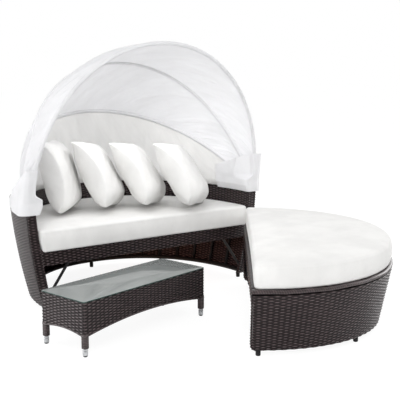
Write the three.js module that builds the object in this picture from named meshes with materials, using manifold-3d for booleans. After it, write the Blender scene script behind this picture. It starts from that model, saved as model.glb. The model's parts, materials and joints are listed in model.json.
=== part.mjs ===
import * as THREE from "three";
import { mergeVertices } from "three/addons/utils/BufferGeometryUtils.js";
import Module from "manifold-3d";

// A woven daybed set for the garden: a half-oval sofa with a folding cloth canopy, a half-oval
// ottoman of the same height, and a low table with a glass top. Millimetres, +Z up.
// The sofa's straight front lies in the plane y = 0 and its rounded back is towards +Y.

const wasm = await Module();
wasm.setup();

// Sizes that the sofa and the ottoman share
const seatHeight = 347;
const wallBase = 30;
const wallThickness = 50;
const weaveThickness = 6;
const planExponent = 2.12;
const railRadius = 12.5;
const uprightRadius = 8;
const seatClearance = 0.3;
const cornerRadius = 25;
const capDepth = 24;
const apronHeight = 76;
const apronFlange = 36;
const deckThickness = 6;
const footRadius = 12;
const joinTolerance = 0.02;
const cutOverrun = 10;
const postGap = 1.5;
const planSpans = 28;

// The sofa
const sofa = {
  rimHeight: 585,
  rimHalfWidth: 758,
  rimDepth: 917,
  baseHalfWidth: 673,
  baseDepth: 806,
  sideBow: 15,
};
const sofaUprights = 19;
const sofaSeatRailInset = 43;
const braceRadius = 8;
const braceTopX = 475;
const braceFootHeight = 62;
const crossRailX = 330;
const sofaFootAnglesShares = [0.27, 0.5, 0.73];

// The canopy: three nested hoops that turn on one bolt at each arm. A lean is measured from
// upright, and is positive towards the front.
const pivotRise = 15;
const hoopRadius = 8;
const hoopExponent = 2.05;
const canopyInset = 26;
const hoopStep = 18;
const hoopHalfWidth = (step) => sofa.rimHalfWidth - canopyInset - step * hoopStep;
const frontHoop = { halfWidth: hoopHalfWidth(0), radius: 849, lean: THREE.MathUtils.degToRad(10.4) };
const middleHoop = { halfWidth: hoopHalfWidth(1), radius: 830, lean: THREE.MathUtils.degToRad(-28) };
const rearHoop = { halfWidth: hoopHalfWidth(2), radius: 848, lean: THREE.MathUtils.degToRad(-59.5) };
const eyeRadius = 10;
const eyeGap = 1.4;
const eyeWidth = hoopStep - eyeGap;
const cheekGap = 1.2;
const boltRadius = 4;
const boltClearance = 0.4;
const boltHeadRadius = 7;
const boltHeadHeight = 5;
const bracketPlate = 3;
const bracketLength = 34;
const bracketLeg = 40;
const coverFrontGap = 1.9;
const clothThickness = 3;
const clothStart = 120;
const hemDrop = 30;
const hemGap = 5;
const panelSag = 14;
const foldHeight = 6;
const panelBulge = 55;

// The cloth cover over each arm's hinge
const coverDrop = 40;
const coverRise = 198;
const coverLevels = [0, 0.17, 0.31, 0.46, 0.72, 1];
const coverRearDrop = 10;
const coverOuterRearRise = 8;
const coverInnerRearRise = 105;
const coverLength = 270;
const coverOuterGap = 34;
const coverTopGap = 12;
const coverInnerInset = 92;
const coverHemInset = 70;

// The cushions
const cushionGap = 4.5;
const cushionOverhang = 3;
const sofaCushionThickness = 124;
const ottomanCushionThickness = 124;
const ottomanCushionInset = 10;
const cushionCorner = 26;
const cushionCrown = 12;
const cushionDrawIn = 5;
const pillowSize = 440;
const pillowThickness = 180;
// Each pillow's place, as shares of the sofa's half width and of its depth, and how it leans
const pillows = [
  { across: -0.53, back: 0.44, turn: -34, lean: 15, roll: 4 },
  { across: -0.23, back: 0.383, turn: -35, lean: 28, roll: 8 },
  { across: 0.094, back: 0.329, turn: -39, lean: 33, roll: 8 },
  { across: 0.373, back: 0.16, turn: -41, lean: 33, roll: 8 },
];

// The ottoman, which stands by the sofa's right front corner
const ottomanRimHalfWidth = 748;
const ottomanFlare = 120;
const ottoman = {
  rimHeight: seatHeight,
  rimHalfWidth: ottomanRimHalfWidth,
  rimDepth: 745,
  baseHalfWidth: ottomanRimHalfWidth - ottomanFlare,
  baseDepth: 688,
  sideBow: 6,
};
const ottomanUprights = 15;
const ottomanFootShares = [0.27, 0.5, 0.73];
const ottomanSeatRailInset = 64;
const ottomanStubShares = [0, 0.21, 0.5, 0.79, 1];
const stubRadius = 4.5;
const ottomanTurn = THREE.MathUtils.degToRad(53.9 - 180);
const ottomanNearCorner = new THREE.Vector3(650.2, -18.1, 0);
const ottomanReach = new THREE.Vector3(Math.cos(ottomanTurn), Math.sin(ottomanTurn), 0)
  .multiplyScalar(ottomanRimHalfWidth);
const ottomanPlace = ottomanNearCorner.add(ottomanReach);

// The glass table, which stands in front of the sofa
const tableLength = 841;
const tableWidth = 308;
const tableHeight = 265;
const glassThickness = 6;
const tableTube = 20;
const tableWrap = 4;
const skirtDrop = 165;
const skirtArchLong = 34;
const skirtArchShort = 14;
const tableCapHeight = 40;
const tableCapRadius = 12.5;
const tablePlace = new THREE.Vector3(-426, -460.5, 0);
const tableTurn = THREE.MathUtils.degToRad(14.9);

const looks = {
  weave: { color: 0x3a302b, roughness: 0.6, metalness: 0 },
  steel: { color: 0x17171a, roughness: 0.45, metalness: 0.5 },
  aluminium: { color: 0xd4d4da, roughness: 0.4, metalness: 0.6 },
  cloth: { color: 0xf1f1ee, roughness: 0.95, metalness: 0 },
  glass: { color: 0xa9bab5, roughness: 0.1, metalness: 0, transparent: true, opacity: 0.5 },
  silver: { color: 0xc4c7ca, roughness: 0.3, metalness: 0.9 },
  rubber: { color: 0x121212, roughness: 0.8, metalness: 0 },
};

function piece(parent, name, look, geometry) {
  const mesh = new THREE.Mesh(geometry, new THREE.MeshStandardMaterial(looks[look]));
  mesh.name = name;
  parent.add(mesh);
  return mesh;
}

// The same surface with only its positions, shared corners merged and its faces turned outwards
function closed(geometry) {
  const bare = geometry.clone();
  for (const name of Object.keys(bare.attributes)) {
    if (name !== "position") bare.deleteAttribute(name);
  }
  const merged = mergeVertices(bare);
  const { index, attributes } = merged;
  const [a, b, c] = [0, 1, 2].map(() => new THREE.Vector3());
  let volume = 0;
  for (let k = 0; k < index.count; k += 3) {
    a.fromBufferAttribute(attributes.position, index.getX(k));
    b.fromBufferAttribute(attributes.position, index.getX(k + 1));
    c.fromBufferAttribute(attributes.position, index.getX(k + 2));
    volume += a.dot(b.cross(c));
  }
  if (volume < 0) index.array.reverse();
  return merged;
}

function solid(geometry) {
  const { index, attributes } = closed(geometry);
  return new wasm.Manifold(new wasm.Mesh({
    numProp: 3,
    vertProperties: new Float32Array(attributes.position.array),
    triVerts: new Uint32Array(index.array),
  }));
}

function shaped(manifold) {
  const { vertProperties, triVerts } = manifold.simplify(joinTolerance).getMesh();
  const geometry = new THREE.BufferGeometry();
  geometry.setAttribute("position", new THREE.BufferAttribute(new Float32Array(vertProperties), 3));
  geometry.setIndex(new THREE.BufferAttribute(new Uint32Array(triVerts), 1));
  return geometry;
}

function joined(...geometries) {
  return shaped(geometries.map(solid).reduce((whole, next) => whole.add(next)));
}

function mirrored(geometry) {
  return closed(geometry.scale(-1, 1, 1));
}

function cut(geometry, ...cutters) {
  return shaped(cutters.map(solid).reduce((whole, next) => whole.subtract(next), solid(geometry)));
}

// Skins a run of rings that have equally many points. An open run is capped at both ends, with
// triangles found on a flat outline that has the rings' own order of points.
function loft(rings, outline, looped = false) {
  const count = rings[0].length;
  const spans = looped ? rings.length : rings.length - 1;
  const index = [];
  for (let ring = 0; ring < spans; ring += 1) {
    const here = ring * count;
    const there = ((ring + 1) % rings.length) * count;
    for (let side = 0; side < count; side += 1) {
      const next = (side + 1) % count;
      index.push(here + side, here + next, there + next);
      index.push(here + side, there + next, there + side);
    }
  }
  if (!looped) {
    const end = (rings.length - 1) * count;
    const clockwise = THREE.ShapeUtils.isClockWise(outline);
    for (const [a, b, c] of THREE.ShapeUtils.triangulateShape(outline, [])) {
      const turned = new THREE.Vector2().subVectors(outline[b], outline[a])
        .cross(new THREE.Vector2().subVectors(outline[c], outline[a])) < 0;
      const [second, third] = turned === clockwise ? [b, c] : [c, b];
      index.push(a, third, second);
      index.push(end + a, end + second, end + third);
    }
  }
  const geometry = new THREE.BufferGeometry();
  const positions = rings.flat().flatMap((point) => point.toArray());
  geometry.setAttribute("position", new THREE.Float32BufferAttribute(positions, 3));
  geometry.setIndex(index);
  return closed(geometry);
}

// Cloth with a thickness: rows of points, offset both ways along the surface's own normal
function sheet(rows, thickness) {
  const rings = rows.map((row, i) => {
    const before = rows[Math.max(i - 1, 0)];
    const after = rows[Math.min(i + 1, rows.length - 1)];
    const normals = row.map((point, j) => {
      const along = new THREE.Vector3().subVectors(after[j], before[j]);
      const down = new THREE.Vector3().subVectors(row[Math.min(j + 1, row.length - 1)], row[Math.max(j - 1, 0)]);
      return along.cross(down).normalize();
    });
    const front = row.map((point, j) => point.clone().addScaledVector(normals[j], thickness / 2));
    const back = row.map((point, j) => point.clone().addScaledVector(normals[j], -thickness / 2));
    return [...front, ...back.reverse()];
  });
  const last = rows[0].length - 1;
  const strip = [
    ...rows[0].map((point, j) => new THREE.Vector2(j, thickness)),
    ...rows[0].map((point, j) => new THREE.Vector2(last - j, 0)),
  ];
  return loft(rings, strip);
}

// A plan that is half a superellipse, growing from the base of the wall to its rim
class HalfOval {
  constructor(sizes) {
    Object.assign(this, sizes);
  }

  share(z) {
    return (z - wallBase) / (this.rimHeight - wallBase);
  }

  halfWidth(z) {
    const share = this.share(z);
    const bow = 4 * this.sideBow * share * (1 - share);
    return THREE.MathUtils.lerp(this.baseHalfWidth, this.rimHalfWidth, share) + bow;
  }

  depth(z) {
    return THREE.MathUtils.lerp(this.baseDepth, this.rimDepth, this.share(z));
  }

  // The point at an angle round the plan and a height, moved in by an inset square to the wall
  point(angle, z, inset = 0) {
    const a = this.halfWidth(z);
    const b = this.depth(z);
    const across = Math.cos(angle);
    const x = a * Math.sign(across) * Math.abs(across) ** (2 / planExponent);
    const y = b * Math.abs(Math.sin(angle)) ** (2 / planExponent);
    const normal = new THREE.Vector2(
      Math.sign(x) * Math.abs(x / a) ** (planExponent - 1) / a,
      (y / b) ** (planExponent - 1) / b,
    ).normalize();
    return new THREE.Vector3(x - inset * normal.x, y - inset * normal.y, z);
  }

  // The angle at which the wall is a distance y behind the straight front
  angleAt(y, z) {
    return Math.asin(Math.min(1, (Math.max(y, 0) / this.depth(z)) ** (planExponent / 2)));
  }

  // The angle a share of the way round, between two places a distance y behind the front
  angleAround(share, y, z) {
    const start = this.angleAt(y, z);
    return THREE.MathUtils.lerp(start, Math.PI - start, share);
  }

  // The angles of a sweep that starts a distance y behind the front. All but the first and the
  // last are the same for every sweep, so that the chords of the nested parts stay parallel.
  stations(y, z) {
    const start = this.angleAt(y, z);
    const between = Array.from({ length: planSpans - 1 }, (_, k) => Math.PI * (k + 1) / planSpans);
    return [start, ...between, Math.PI - start];
  }
}

// An upright follows the wall's slope and bow, a share of the way round it
class UprightCurve extends THREE.Curve {
  constructor(oval, around, fromZ, toZ, inset) {
    super();
    Object.assign(this, { oval, around, fromZ, toZ, inset });
  }

  getPoint(share, target = new THREE.Vector3()) {
    const z = THREE.MathUtils.lerp(this.fromZ, this.toZ, share);
    const angle = this.oval.angleAround(this.around, this.inset, z);
    return target.copy(this.oval.point(angle, z, this.inset));
  }
}

// A section of (inset, height) points swept round the wall from one front end to the other
function sweepWall(oval, section, startY) {
  const rings = [];
  for (let station = 0; station <= planSpans; station += 1) {
    rings.push(section.map(({ x: inset, y: z }) => (
      oval.point(oval.stations(startY, z)[station], z, inset)
    )));
  }
  return loft(rings, section);
}

function outlineOf(pairs) {
  return pairs.map(([x, y]) => new THREE.Vector2(x, y));
}

function roundSection(radius, sides, x = 0, y = 0) {
  return Array.from({ length: sides }, (_, side) => {
    const turn = Math.PI / 2 + 2 * Math.PI * side / sides;
    return new THREE.Vector2(x + radius * Math.cos(turn), y + radius * Math.sin(turn));
  });
}

// A round tube along a curve
function tube(curve, radius, steps, sides = 8) {
  const settings = { extrudePath: curve, steps, bevelEnabled: false };
  return new THREE.ExtrudeGeometry(new THREE.Shape(roundSection(radius, sides)), settings);
}

// A round tube bent round the wall, a distance inside it
function bentRail(oval, z, inset, startY) {
  return sweepWall(oval, roundSection(railRadius, 6, inset, z), startY);
}

function straightTube(from, to, radius, sides = 8) {
  return tube(new THREE.LineCurve3(from, to), radius, 1, sides);
}

// An upright plate: an outline in x and z, pushed back along +Y by a thickness
function plate(shape, frontY, thickness, curveSegments = 8) {
  const geometry = new THREE.ExtrudeGeometry(shape, { depth: thickness, bevelEnabled: false, curveSegments });
  return geometry.rotateX(Math.PI / 2).translate(0, frontY + thickness, 0);
}

// A bar along X whose outline is given in y and z
function bar(shape, fromX, length, curveSegments = 6) {
  const geometry = new THREE.ExtrudeGeometry(shape, { depth: length, bevelEnabled: false, curveSegments });
  return geometry.rotateZ(Math.PI / 2).rotateY(Math.PI / 2).translate(fromX, 0, 0);
}

function block(sizeX, sizeY, sizeZ, x, y, z) {
  return new THREE.BoxGeometry(sizeX, sizeY, sizeZ).translate(x, y, z);
}

function axle(radius, length, x, y, z, sides = 12) {
  return new THREE.CylinderGeometry(radius, radius, length, sides).rotateZ(Math.PI / 2).translate(x, y, z);
}

const railInset = weaveThickness + postGap + railRadius;
const baseRailHeight = wallBase + railRadius + 2 * seatClearance;
const footHeight = baseRailHeight - railRadius - seatClearance;
const deckTop = seatHeight - seatClearance;
const deckUnderside = deckTop - deckThickness;
const seatRailHeight = deckUnderside - seatClearance - railRadius;
const apronTop = deckUnderside - seatClearance;
const apronBottom = apronTop - apronHeight;

// The height where the wall's skins end under the rim cap
function skinTop(oval) {
  return oval.rimHeight - capDepth - seatClearance;
}

// A block that rounds the lower front corners of the wall, as they are seen from the side
function cornerBlock(oval) {
  const half = oval.rimHalfWidth + cutOverrun;
  const corner = new THREE.Shape();
  corner.moveTo(-cutOverrun, wallBase - cutOverrun);
  corner.lineTo(cornerRadius, wallBase - cutOverrun);
  corner.lineTo(cornerRadius, wallBase);
  corner.absarc(cornerRadius, wallBase + cornerRadius, cornerRadius, -Math.PI / 2, -Math.PI, true);
  corner.lineTo(-cutOverrun, wallBase + cornerRadius);
  return bar(corner, -half, 2 * half);
}

// The outer skin of the wall, from its base to the underside of the rim cap
function outerWeave(oval) {
  const levelShares = [0, 0.33, 0.67, 1];
  const levels = levelShares.map((share) => THREE.MathUtils.lerp(wallBase, skinTop(oval), share));
  const section = outlineOf([
    ...levels.map((z) => [0, z]),
    ...levels.reverse().map((z) => [weaveThickness, z]),
  ]);
  return cut(sweepWall(oval, section, weaveThickness + seatClearance), cornerBlock(oval));
}

// The inner skin of the sofa's wall, from the deck up to the rim cap
function innerWeave(oval) {
  const inside = wallThickness - weaveThickness;
  const section = outlineOf([
    [inside, deckUnderside],
    [inside, skinTop(oval)],
    [wallThickness, skinTop(oval)],
    [wallThickness, deckUnderside],
  ]);
  return sweepWall(oval, section, weaveThickness + seatClearance);
}

// The rounded cap woven over the rim
function rimCap(oval) {
  const top = oval.rimHeight;
  const shoulder = wallThickness / 5;
  const section = outlineOf([
    [0, top - capDepth],
    [0, top - capDepth / 2],
    [shoulder, top - capDepth / 8],
    [wallThickness / 2, top],
    [wallThickness - shoulder, top - capDepth / 8],
    [wallThickness, top - capDepth / 2],
    [wallThickness, top - capDepth],
  ]);
  return sweepWall(oval, section, 0);
}

// The woven face of one front end of the wall; side is 1 on the right and -1 on the left
function endFace(oval, side) {
  const levelShares = [0, 0.2, 0.4, 0.6, 0.8, 1];
  const outer = levelShares.map((share) => {
    const z = THREE.MathUtils.lerp(wallBase, skinTop(oval), share);
    return new THREE.Vector2(side * oval.halfWidth(z), z);
  });
  const inner = outer.map(({ x, y }) => new THREE.Vector2(x - side * wallThickness, y)).reverse();
  const face = plate(new THREE.Shape([...outer, ...inner]), 0, weaveThickness);
  return cut(face, cornerBlock(oval));
}

// The welded frame inside the wall: a rim rail, a base rail, and posts and uprights between them
function wallFrame(oval, uprights) {
  const rimRailHeight = skinTop(oval) - railRadius;
  const rails = [rimRailHeight, baseRailHeight].map((z) => bentRail(oval, z, railInset, railInset));
  const posts = [];
  for (let upright = 0; upright < uprights; upright += 1) {
    const isEnd = upright === 0 || upright === uprights - 1;
    const inset = isEnd ? railInset + postGap : railInset;
    const curve = new UprightCurve(oval, upright / (uprights - 1), baseRailHeight, rimRailHeight, inset);
    posts.push(isEnd ? tube(curve, railRadius, 4) : tube(curve, uprightRadius, 2, 6));
  }
  return joined(...rails, ...posts);
}

// How far from the centre the inner side of an end post is at a height
function postInside(oval, z) {
  return oval.halfWidth(z) - railInset - postGap - railRadius;
}

// The welded frame under the deck: a half-oval tube, a straight front tube between its ends,
// and tubes from front to back
function seatFrame(oval, inset, frontHalf, crossPlaces, ...more) {
  const front = straightTube(
    new THREE.Vector3(-frontHalf, railInset, seatRailHeight),
    new THREE.Vector3(frontHalf, railInset, seatRailHeight),
    railRadius,
  );
  const crossRails = crossPlaces.map((x) => {
    const across = Math.acos((Math.abs(x) / oval.halfWidth(seatRailHeight)) ** (planExponent / 2));
    return straightTube(
      new THREE.Vector3(x, railInset, seatRailHeight),
      new THREE.Vector3(x, oval.point(across, seatRailHeight, inset).y, seatRailHeight),
      uprightRadius,
      6,
    );
  });
  const bent = bentRail(oval, seatRailHeight, inset, railInset + railRadius - postGap);
  return joined(bent, front, ...crossRails, ...more);
}

// A stub from the seat rail out to an upright, under the rim cap
function stub(oval, share) {
  const z = skinTop(oval) - stubRadius;
  const angle = oval.angleAround(share, railInset + postGap, z);
  const inset = railInset + (share % 1 === 0 ? railRadius : uprightRadius) + 3 * postGap;
  return straightTube(oval.point(angle, z, ottomanSeatRailInset), oval.point(angle, z, inset), stubRadius, 6);
}

// The woven strip under the seat's straight front, with a flange turned in below the front rail
function apron(oval) {
  const halfAt = (z) => oval.halfWidth(z) - wallThickness - postGap;
  const face = new THREE.Shape(outlineOf([
    [-halfAt(apronBottom), apronBottom],
    [halfAt(apronBottom), apronBottom],
    [halfAt(apronTop), apronTop],
    [-halfAt(apronTop), apronTop],
  ]));
  const flangeHalf = halfAt(apronBottom) - seatClearance;
  const flange = block(
    2 * flangeHalf, apronFlange, weaveThickness, 0, apronFlange / 2, apronBottom + weaveThickness / 2,
  );
  return joined(plate(face, 0, weaveThickness), flange);
}

// The sofa's apron has a hole in its flange for each brace
function bracedApron(oval) {
  return cut(apron(oval), ...[-1, 1].map((side) => braceTube(oval, side, braceRadius + 2 * seatClearance)));
}

// A half-oval outline in plan, counter-clockwise, whose straight front has rounded corners
function ovalOutline(oval, z, inset, frontY, radius, frontSteps = 8) {
  const half = oval.halfWidth(z) - inset;
  const turnSteps = 4;
  const points = [];
  for (let step = 0; step < frontSteps; step += 1) {
    const x = THREE.MathUtils.lerp(radius - half, half - radius, step / frontSteps);
    points.push(new THREE.Vector2(x, frontY));
  }
  const corner = [];
  for (let step = 0; step < turnSteps; step += 1) {
    const turn = Math.PI / 2 * step / turnSteps;
    const x = half - radius + radius * Math.sin(turn);
    corner.push(new THREE.Vector2(x, frontY + radius - radius * Math.cos(turn)));
  }
  const arc = oval.stations(frontY + radius, z).map((angle) => {
    const { x, y } = oval.point(angle, z, inset);
    return new THREE.Vector2(x, y);
  });
  const mirrored = corner.slice(1).reverse().map(({ x, y }) => new THREE.Vector2(-x, y));
  return [...points, ...corner, ...arc, ...mirrored];
}

// The woven deck that the cushion lies on
function deck(oval) {
  const inset = wallThickness + seatClearance;
  const outline = ovalOutline(oval, deckUnderside, inset, 0, weaveThickness, 1);
  return new THREE.ExtrudeGeometry(new THREE.Shape(outline), { depth: deckThickness, bevelEnabled: false })
    .translate(0, 0, deckUnderside);
}

// A boxed cushion: its sides are drawn in between the seams, and its top is crowned
function boxedCushion(outlineAt, underside, thickness) {
  const outline = outlineAt(underside);
  const centre = new THREE.Box2().setFromPoints(outline).getCenter(new THREE.Vector2());
  const reach = centre.y - Math.min(...outline.map(({ y }) => y));
  const sideShares = [[1.8, 0], [0.5, 0.04], [0, 0.14], [0.6, 0.5], [0, 0.86], [0.6, 0.97]];
  const crownShares = [0.94, 0.8, 0.6, 0.35];
  const body = thickness - cushionCrown;
  const ring = (scale, z) => outlineAt(underside + Math.min(z, body)).map((point) => {
    const placed = point.clone().sub(centre).multiplyScalar(scale).add(centre);
    return new THREE.Vector3(placed.x, placed.y, underside + z);
  });
  return loft([
    ...sideShares.map(([drawn, height]) => ring(1 - drawn * cushionDrawIn / reach, height * body)),
    ...crownShares.map((scale) => ring(scale, body + cushionCrown * (1 - scale ** 2) ** 0.6)),
  ], outline);
}

// A square pillow in the xz plane, thickest in the middle, with drawn-in sides, blunt corners
// and a thin seam
function pillow() {
  const sideSteps = 6;
  const half = pillowSize / 2;
  const drawIn = 0.05 * pillowSize;
  const straightShare = 0.92;
  const side = Array.from({ length: sideSteps }, (_, step) => {
    const along = straightShare * (2 * step / (sideSteps - 1) - 1);
    return new THREE.Vector2(along * half, -half + drawIn * (1 - along ** 2));
  });
  const outline = [0, 1, 2, 3].flatMap((quarter) => (
    side.map((point) => point.clone().rotateAround(new THREE.Vector2(), quarter * Math.PI / 2))
  ));
  const faceShares = [0.3, 0.6, 0.84, 0.96, 1];
  const bulge = (scale) => 0.015 + 0.485 * (1 - scale ** 2) ** 0.5;
  const ring = (scale, face) => outline.map(({ x, y }) => (
    new THREE.Vector3(scale * x, face * pillowThickness * bulge(scale), scale * y)
  ));
  return loft([
    ...faceShares.map((scale) => ring(scale, -1)),
    ...faceShares.map((scale) => ring(scale, 1)).reverse(),
  ], outline);
}

// Lowers a piece until its lowest part lies a clearance above what is under it
function settle(mesh, support) {
  mesh.updateMatrixWorld();
  const { position } = mesh.geometry.attributes;
  const down = new THREE.Vector3(0, 0, -1);
  let drop = Infinity;
  for (let k = 0; k < position.count; k += 1) {
    const corner = mesh.localToWorld(new THREE.Vector3().fromBufferAttribute(position, k));
    const [hit] = new THREE.Raycaster(corner, down).intersectObject(support);
    drop = Math.min(drop, hit ? hit.distance : Infinity);
  }
  mesh.position.z -= drop - seatClearance;
}

function foot() {
  const profile = outlineOf([
    [0, 0],
    [footRadius * 0.85, 0],
    [footRadius, footHeight / 8],
    [footRadius, footHeight],
    [0, footHeight],
  ]);
  return new THREE.LatheGeometry(profile, 9).rotateX(Math.PI / 2);
}

// The feet stand under the base rail, at each front end and at shares of the way round the back
function feet(parent, name, oval, backShares) {
  const shares = [0, ...backShares, 1];
  shares.forEach((share, k) => {
    const angle = oval.angleAround(share, cornerRadius + footRadius, baseRailHeight);
    const mesh = piece(parent, `${name}_foot_${k + 1}`, "rubber", foot());
    mesh.position.copy(oval.point(angle, baseRailHeight, railInset + railRadius / 2)).setZ(0);
  });
}

// A tube from the centre of the front rail down to the centre of an end post
function braceTube(oval, side, radius) {
  const footX = postInside(oval, braceFootHeight) + railRadius;
  const top = new THREE.Vector3(side * braceTopX, railInset, seatRailHeight);
  return straightTube(top, new THREE.Vector3(side * footX, railInset, braceFootHeight), radius);
}

// The diagonal strut, coped to the front rail and to the end post
function brace(oval, side) {
  const grown = (railRadius + postGap) / Math.cos(Math.PI / 8);
  const half = oval.rimHalfWidth;
  const rail = straightTube(
    new THREE.Vector3(-half, railInset, seatRailHeight),
    new THREE.Vector3(half, railInset, seatRailHeight),
    grown,
  );
  const around = side > 0 ? 0 : 1;
  const post = tube(new UprightCurve(oval, around, wallBase, seatHeight, railInset + postGap), grown, 4);
  return cut(braceTube(oval, side, braceRadius), rail, post);
}

// The hoop's bend: half a superellipse that rises from the two pivots
class HoopCurve extends THREE.Curve {
  constructor(hoop) {
    super();
    this.hoop = hoop;
  }

  getPoint(share, target = new THREE.Vector3()) {
    const angle = Math.PI * share;
    const across = Math.cos(angle);
    const x = this.hoop.halfWidth * Math.sign(across) * Math.abs(across) ** (2 / hoopExponent);
    return target.set(x, 0, this.hoop.radius * Math.abs(Math.sin(angle)) ** (2 / hoopExponent));
  }
}

function hoopGeometry(hoop) {
  const eyes = [-1, 1].map((side) => axle(eyeRadius, eyeWidth, side * hoop.halfWidth, 0, 0));
  const holes = [-1, 1].map((side) => (
    axle(boltRadius + boltClearance, 2 * eyeWidth, side * hoop.halfWidth, 0, 0)
  ));
  return cut(joined(tube(new HoopCurve(hoop), hoopRadius, 32), ...eyes), ...holes);
}

// The place on a hoop's bend at an angle, once it leans
function onHoop({ halfWidth, radius, lean }, angle, pivotHeight) {
  const across = Math.cos(angle);
  const x = halfWidth * Math.sign(across) * Math.abs(across) ** (2 / hoopExponent);
  const reach = radius * Math.sin(angle) ** (2 / hoopExponent);
  return new THREE.Vector3(x, -reach * Math.sin(lean), pivotHeight + reach * Math.cos(lean));
}

function firstClothAngle(hoop) {
  return Math.asin((clothStart / hoop.radius) ** (hoopExponent / 2));
}

// How far round the pivot a hoop's own tube reaches, at an angle of its bend
function tubeReach(hoop, angle, gap) {
  const reach = hoop.radius * Math.sin(angle) ** (2 / hoopExponent);
  return Math.asin((hoopRadius + gap) / reach);
}

// The cloth between two hoops, which sags a little inwards, bulges outwards at both sides and is
// ruffled by slanting folds
function canopyPanel(back, front, pivotHeight, folds) {
  const columns = 34;
  const rows = [];
  const downShares = [0, 0.25, 0.5, 0.75, 1];
  for (let column = 0; column <= columns; column += 1) {
    const share = column / columns;
    const start = firstClothAngle(back);
    const angle = THREE.MathUtils.lerp(start, Math.PI - start, share);
    const sideShare = Math.abs(Math.cos(angle)) ** 6;
    const gap = (2 + 5 * sideShare) * seatClearance;
    const fromLean = back.lean + tubeReach(back, angle, gap);
    const toLean = front.lean - tubeReach(front, angle, gap);
    rows.push(downShares.map((down) => {
      const middle = 4 * down * (1 - down);
      const fold = foldHeight * Math.sin(2 * Math.PI * (folds * share + down / 2));
      const drop = middle * Math.sin(angle) * (panelSag + fold);
      const bulge = middle ** 1.5 * panelBulge * sideShare;
      return onHoop({
        halfWidth: THREE.MathUtils.lerp(back.halfWidth, front.halfWidth, down) + bulge,
        radius: THREE.MathUtils.lerp(back.radius, front.radius, down) - drop,
        lean: THREE.MathUtils.lerp(fromLean, toLean, down),
      }, angle, pivotHeight);
    }));
  }
  return sheet(rows, clothThickness);
}

// The cloth from the rear hoop down to the rim, with its hem hanging inside the wall
function rearPanel(hoop, oval, pivotHeight) {
  const columns = 36;
  const folds = 9;
  const inset = wallThickness + hemGap;
  const rows = [];
  const downShares = [0, 0.25, 0.5, 0.75, 1];
  for (let column = 0; column <= columns; column += 1) {
    const share = column / columns;
    const start = firstClothAngle(hoop);
    const angle = THREE.MathUtils.lerp(start, Math.PI - start, share);
    const lean = hoop.lean - tubeReach(hoop, angle, 2 * seatClearance);
    const top = onHoop({ ...hoop, lean }, angle, pivotHeight);
    const rim = oval.point(angle, oval.rimHeight + hemGap, inset);
    const hem = oval.point(angle, oval.rimHeight - hemDrop, inset);
    const inward = new THREE.Vector3(-Math.cos(angle), -Math.sin(angle), 0);
    const row = downShares.map((down) => {
      const fold = foldHeight * Math.sin(2 * Math.PI * folds * share) * Math.sin(angle);
      const middle = 4 * down * (1 - down);
      return top.clone().lerp(rim, down).addScaledVector(inward, middle * (panelSag * Math.sin(angle) + fold));
    });
    rows.push([...row, hem]);
  }
  return sheet(rows, clothThickness);
}

// How far inside the rim's outer edge a cover's inner leg hangs. It is close to the wall below
// the rim, clears the bolt above it, and lies along the hoops higher up.
function innerLegInset(rise, y) {
  const { clamp, lerp, smoothstep } = THREE.MathUtils;
  const alongHoops = 44 + clamp(rise - 70, 0, 130) * 0.09 + clamp(0.47 * y, 0, coverInnerInset - 44);
  const overBolt = lerp(coverHemInset, coverInnerInset - 3, clamp(1 + rise / coverDrop, 0, 1));
  return lerp(overBolt, Math.min(alongHoops, coverInnerInset), smoothstep(rise, 33, 66));
}

// The cloth cover over a hinge: it hangs outside the arm, wraps its front end and hangs inside
// it. Its front leans forward with the front hoop, which passes behind it.
function hingeCover(oval, side) {
  const { clamp, lerp } = THREE.MathUtils;
  const columns = 24;
  const frontY = -eyeRadius - coverFrontGap;
  const eyeRise = pivotRise + eyeRadius;
  const outer = -coverOuterGap;
  const inner = coverInnerInset;
  const route = new THREE.CatmullRomCurve3([
    [outer * 0.3, coverLength],
    [outer * 0.75, coverLength * 0.66],
    [outer, coverLength * 0.3],
    [outer * 0.85, coverLength * 0.03],
    [0, frontY],
    [wallThickness, frontY * 1.2],
    [inner * 0.93, frontY],
    [inner, coverLength * 0.06],
    [inner, coverLength * 0.3],
    [inner, coverLength * 0.66],
    [inner, coverLength],
  ].map(([inset, y]) => new THREE.Vector3(inset, y, 0)));
  const rows = [];
  for (let column = 0; column <= columns; column += 1) {
    const share = column / columns;
    const { x: place, y: routeY } = route.getPointAt(share);
    const isOuter = place < 0;
    const behind = clamp(routeY / coverLength, 0, 1);
    const bottom = lerp(-coverDrop, -coverRearDrop, isOuter ? behind ** 2 : 0);
    const top = isOuter
      ? lerp(coverRise, coverOuterRearRise, behind ** 0.8)
      : lerp(coverRise, coverInnerRearRise, behind);
    rows.push(coverLevels.map((level) => {
      const rise = lerp(bottom, top, level);
      const lean = Math.max(rise - eyeRise, 0) * Math.tan(frontHoop.lean) * (1 - behind) ** 4;
      const y = routeY - lean;
      const wall = oval.point(oval.angleAt(y, oval.rimHeight), oval.rimHeight);
      const upShare = Math.max(rise, 0) / coverRise;
      const drawn = isOuter ? (coverOuterGap - coverTopGap) * upShare * place / outer : 0;
      const ruffle = isOuter ? foldHeight * (1 - upShare) * Math.sin(12 * Math.PI * share) / 2 : 0;
      const inset = isOuter ? place : place * innerLegInset(rise, y) / inner;
      return new THREE.Vector3(side * (wall.x - inset - drawn + ruffle), y, oval.rimHeight + rise);
    }));
  }
  return sheet(rows, clothThickness);
}

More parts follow.
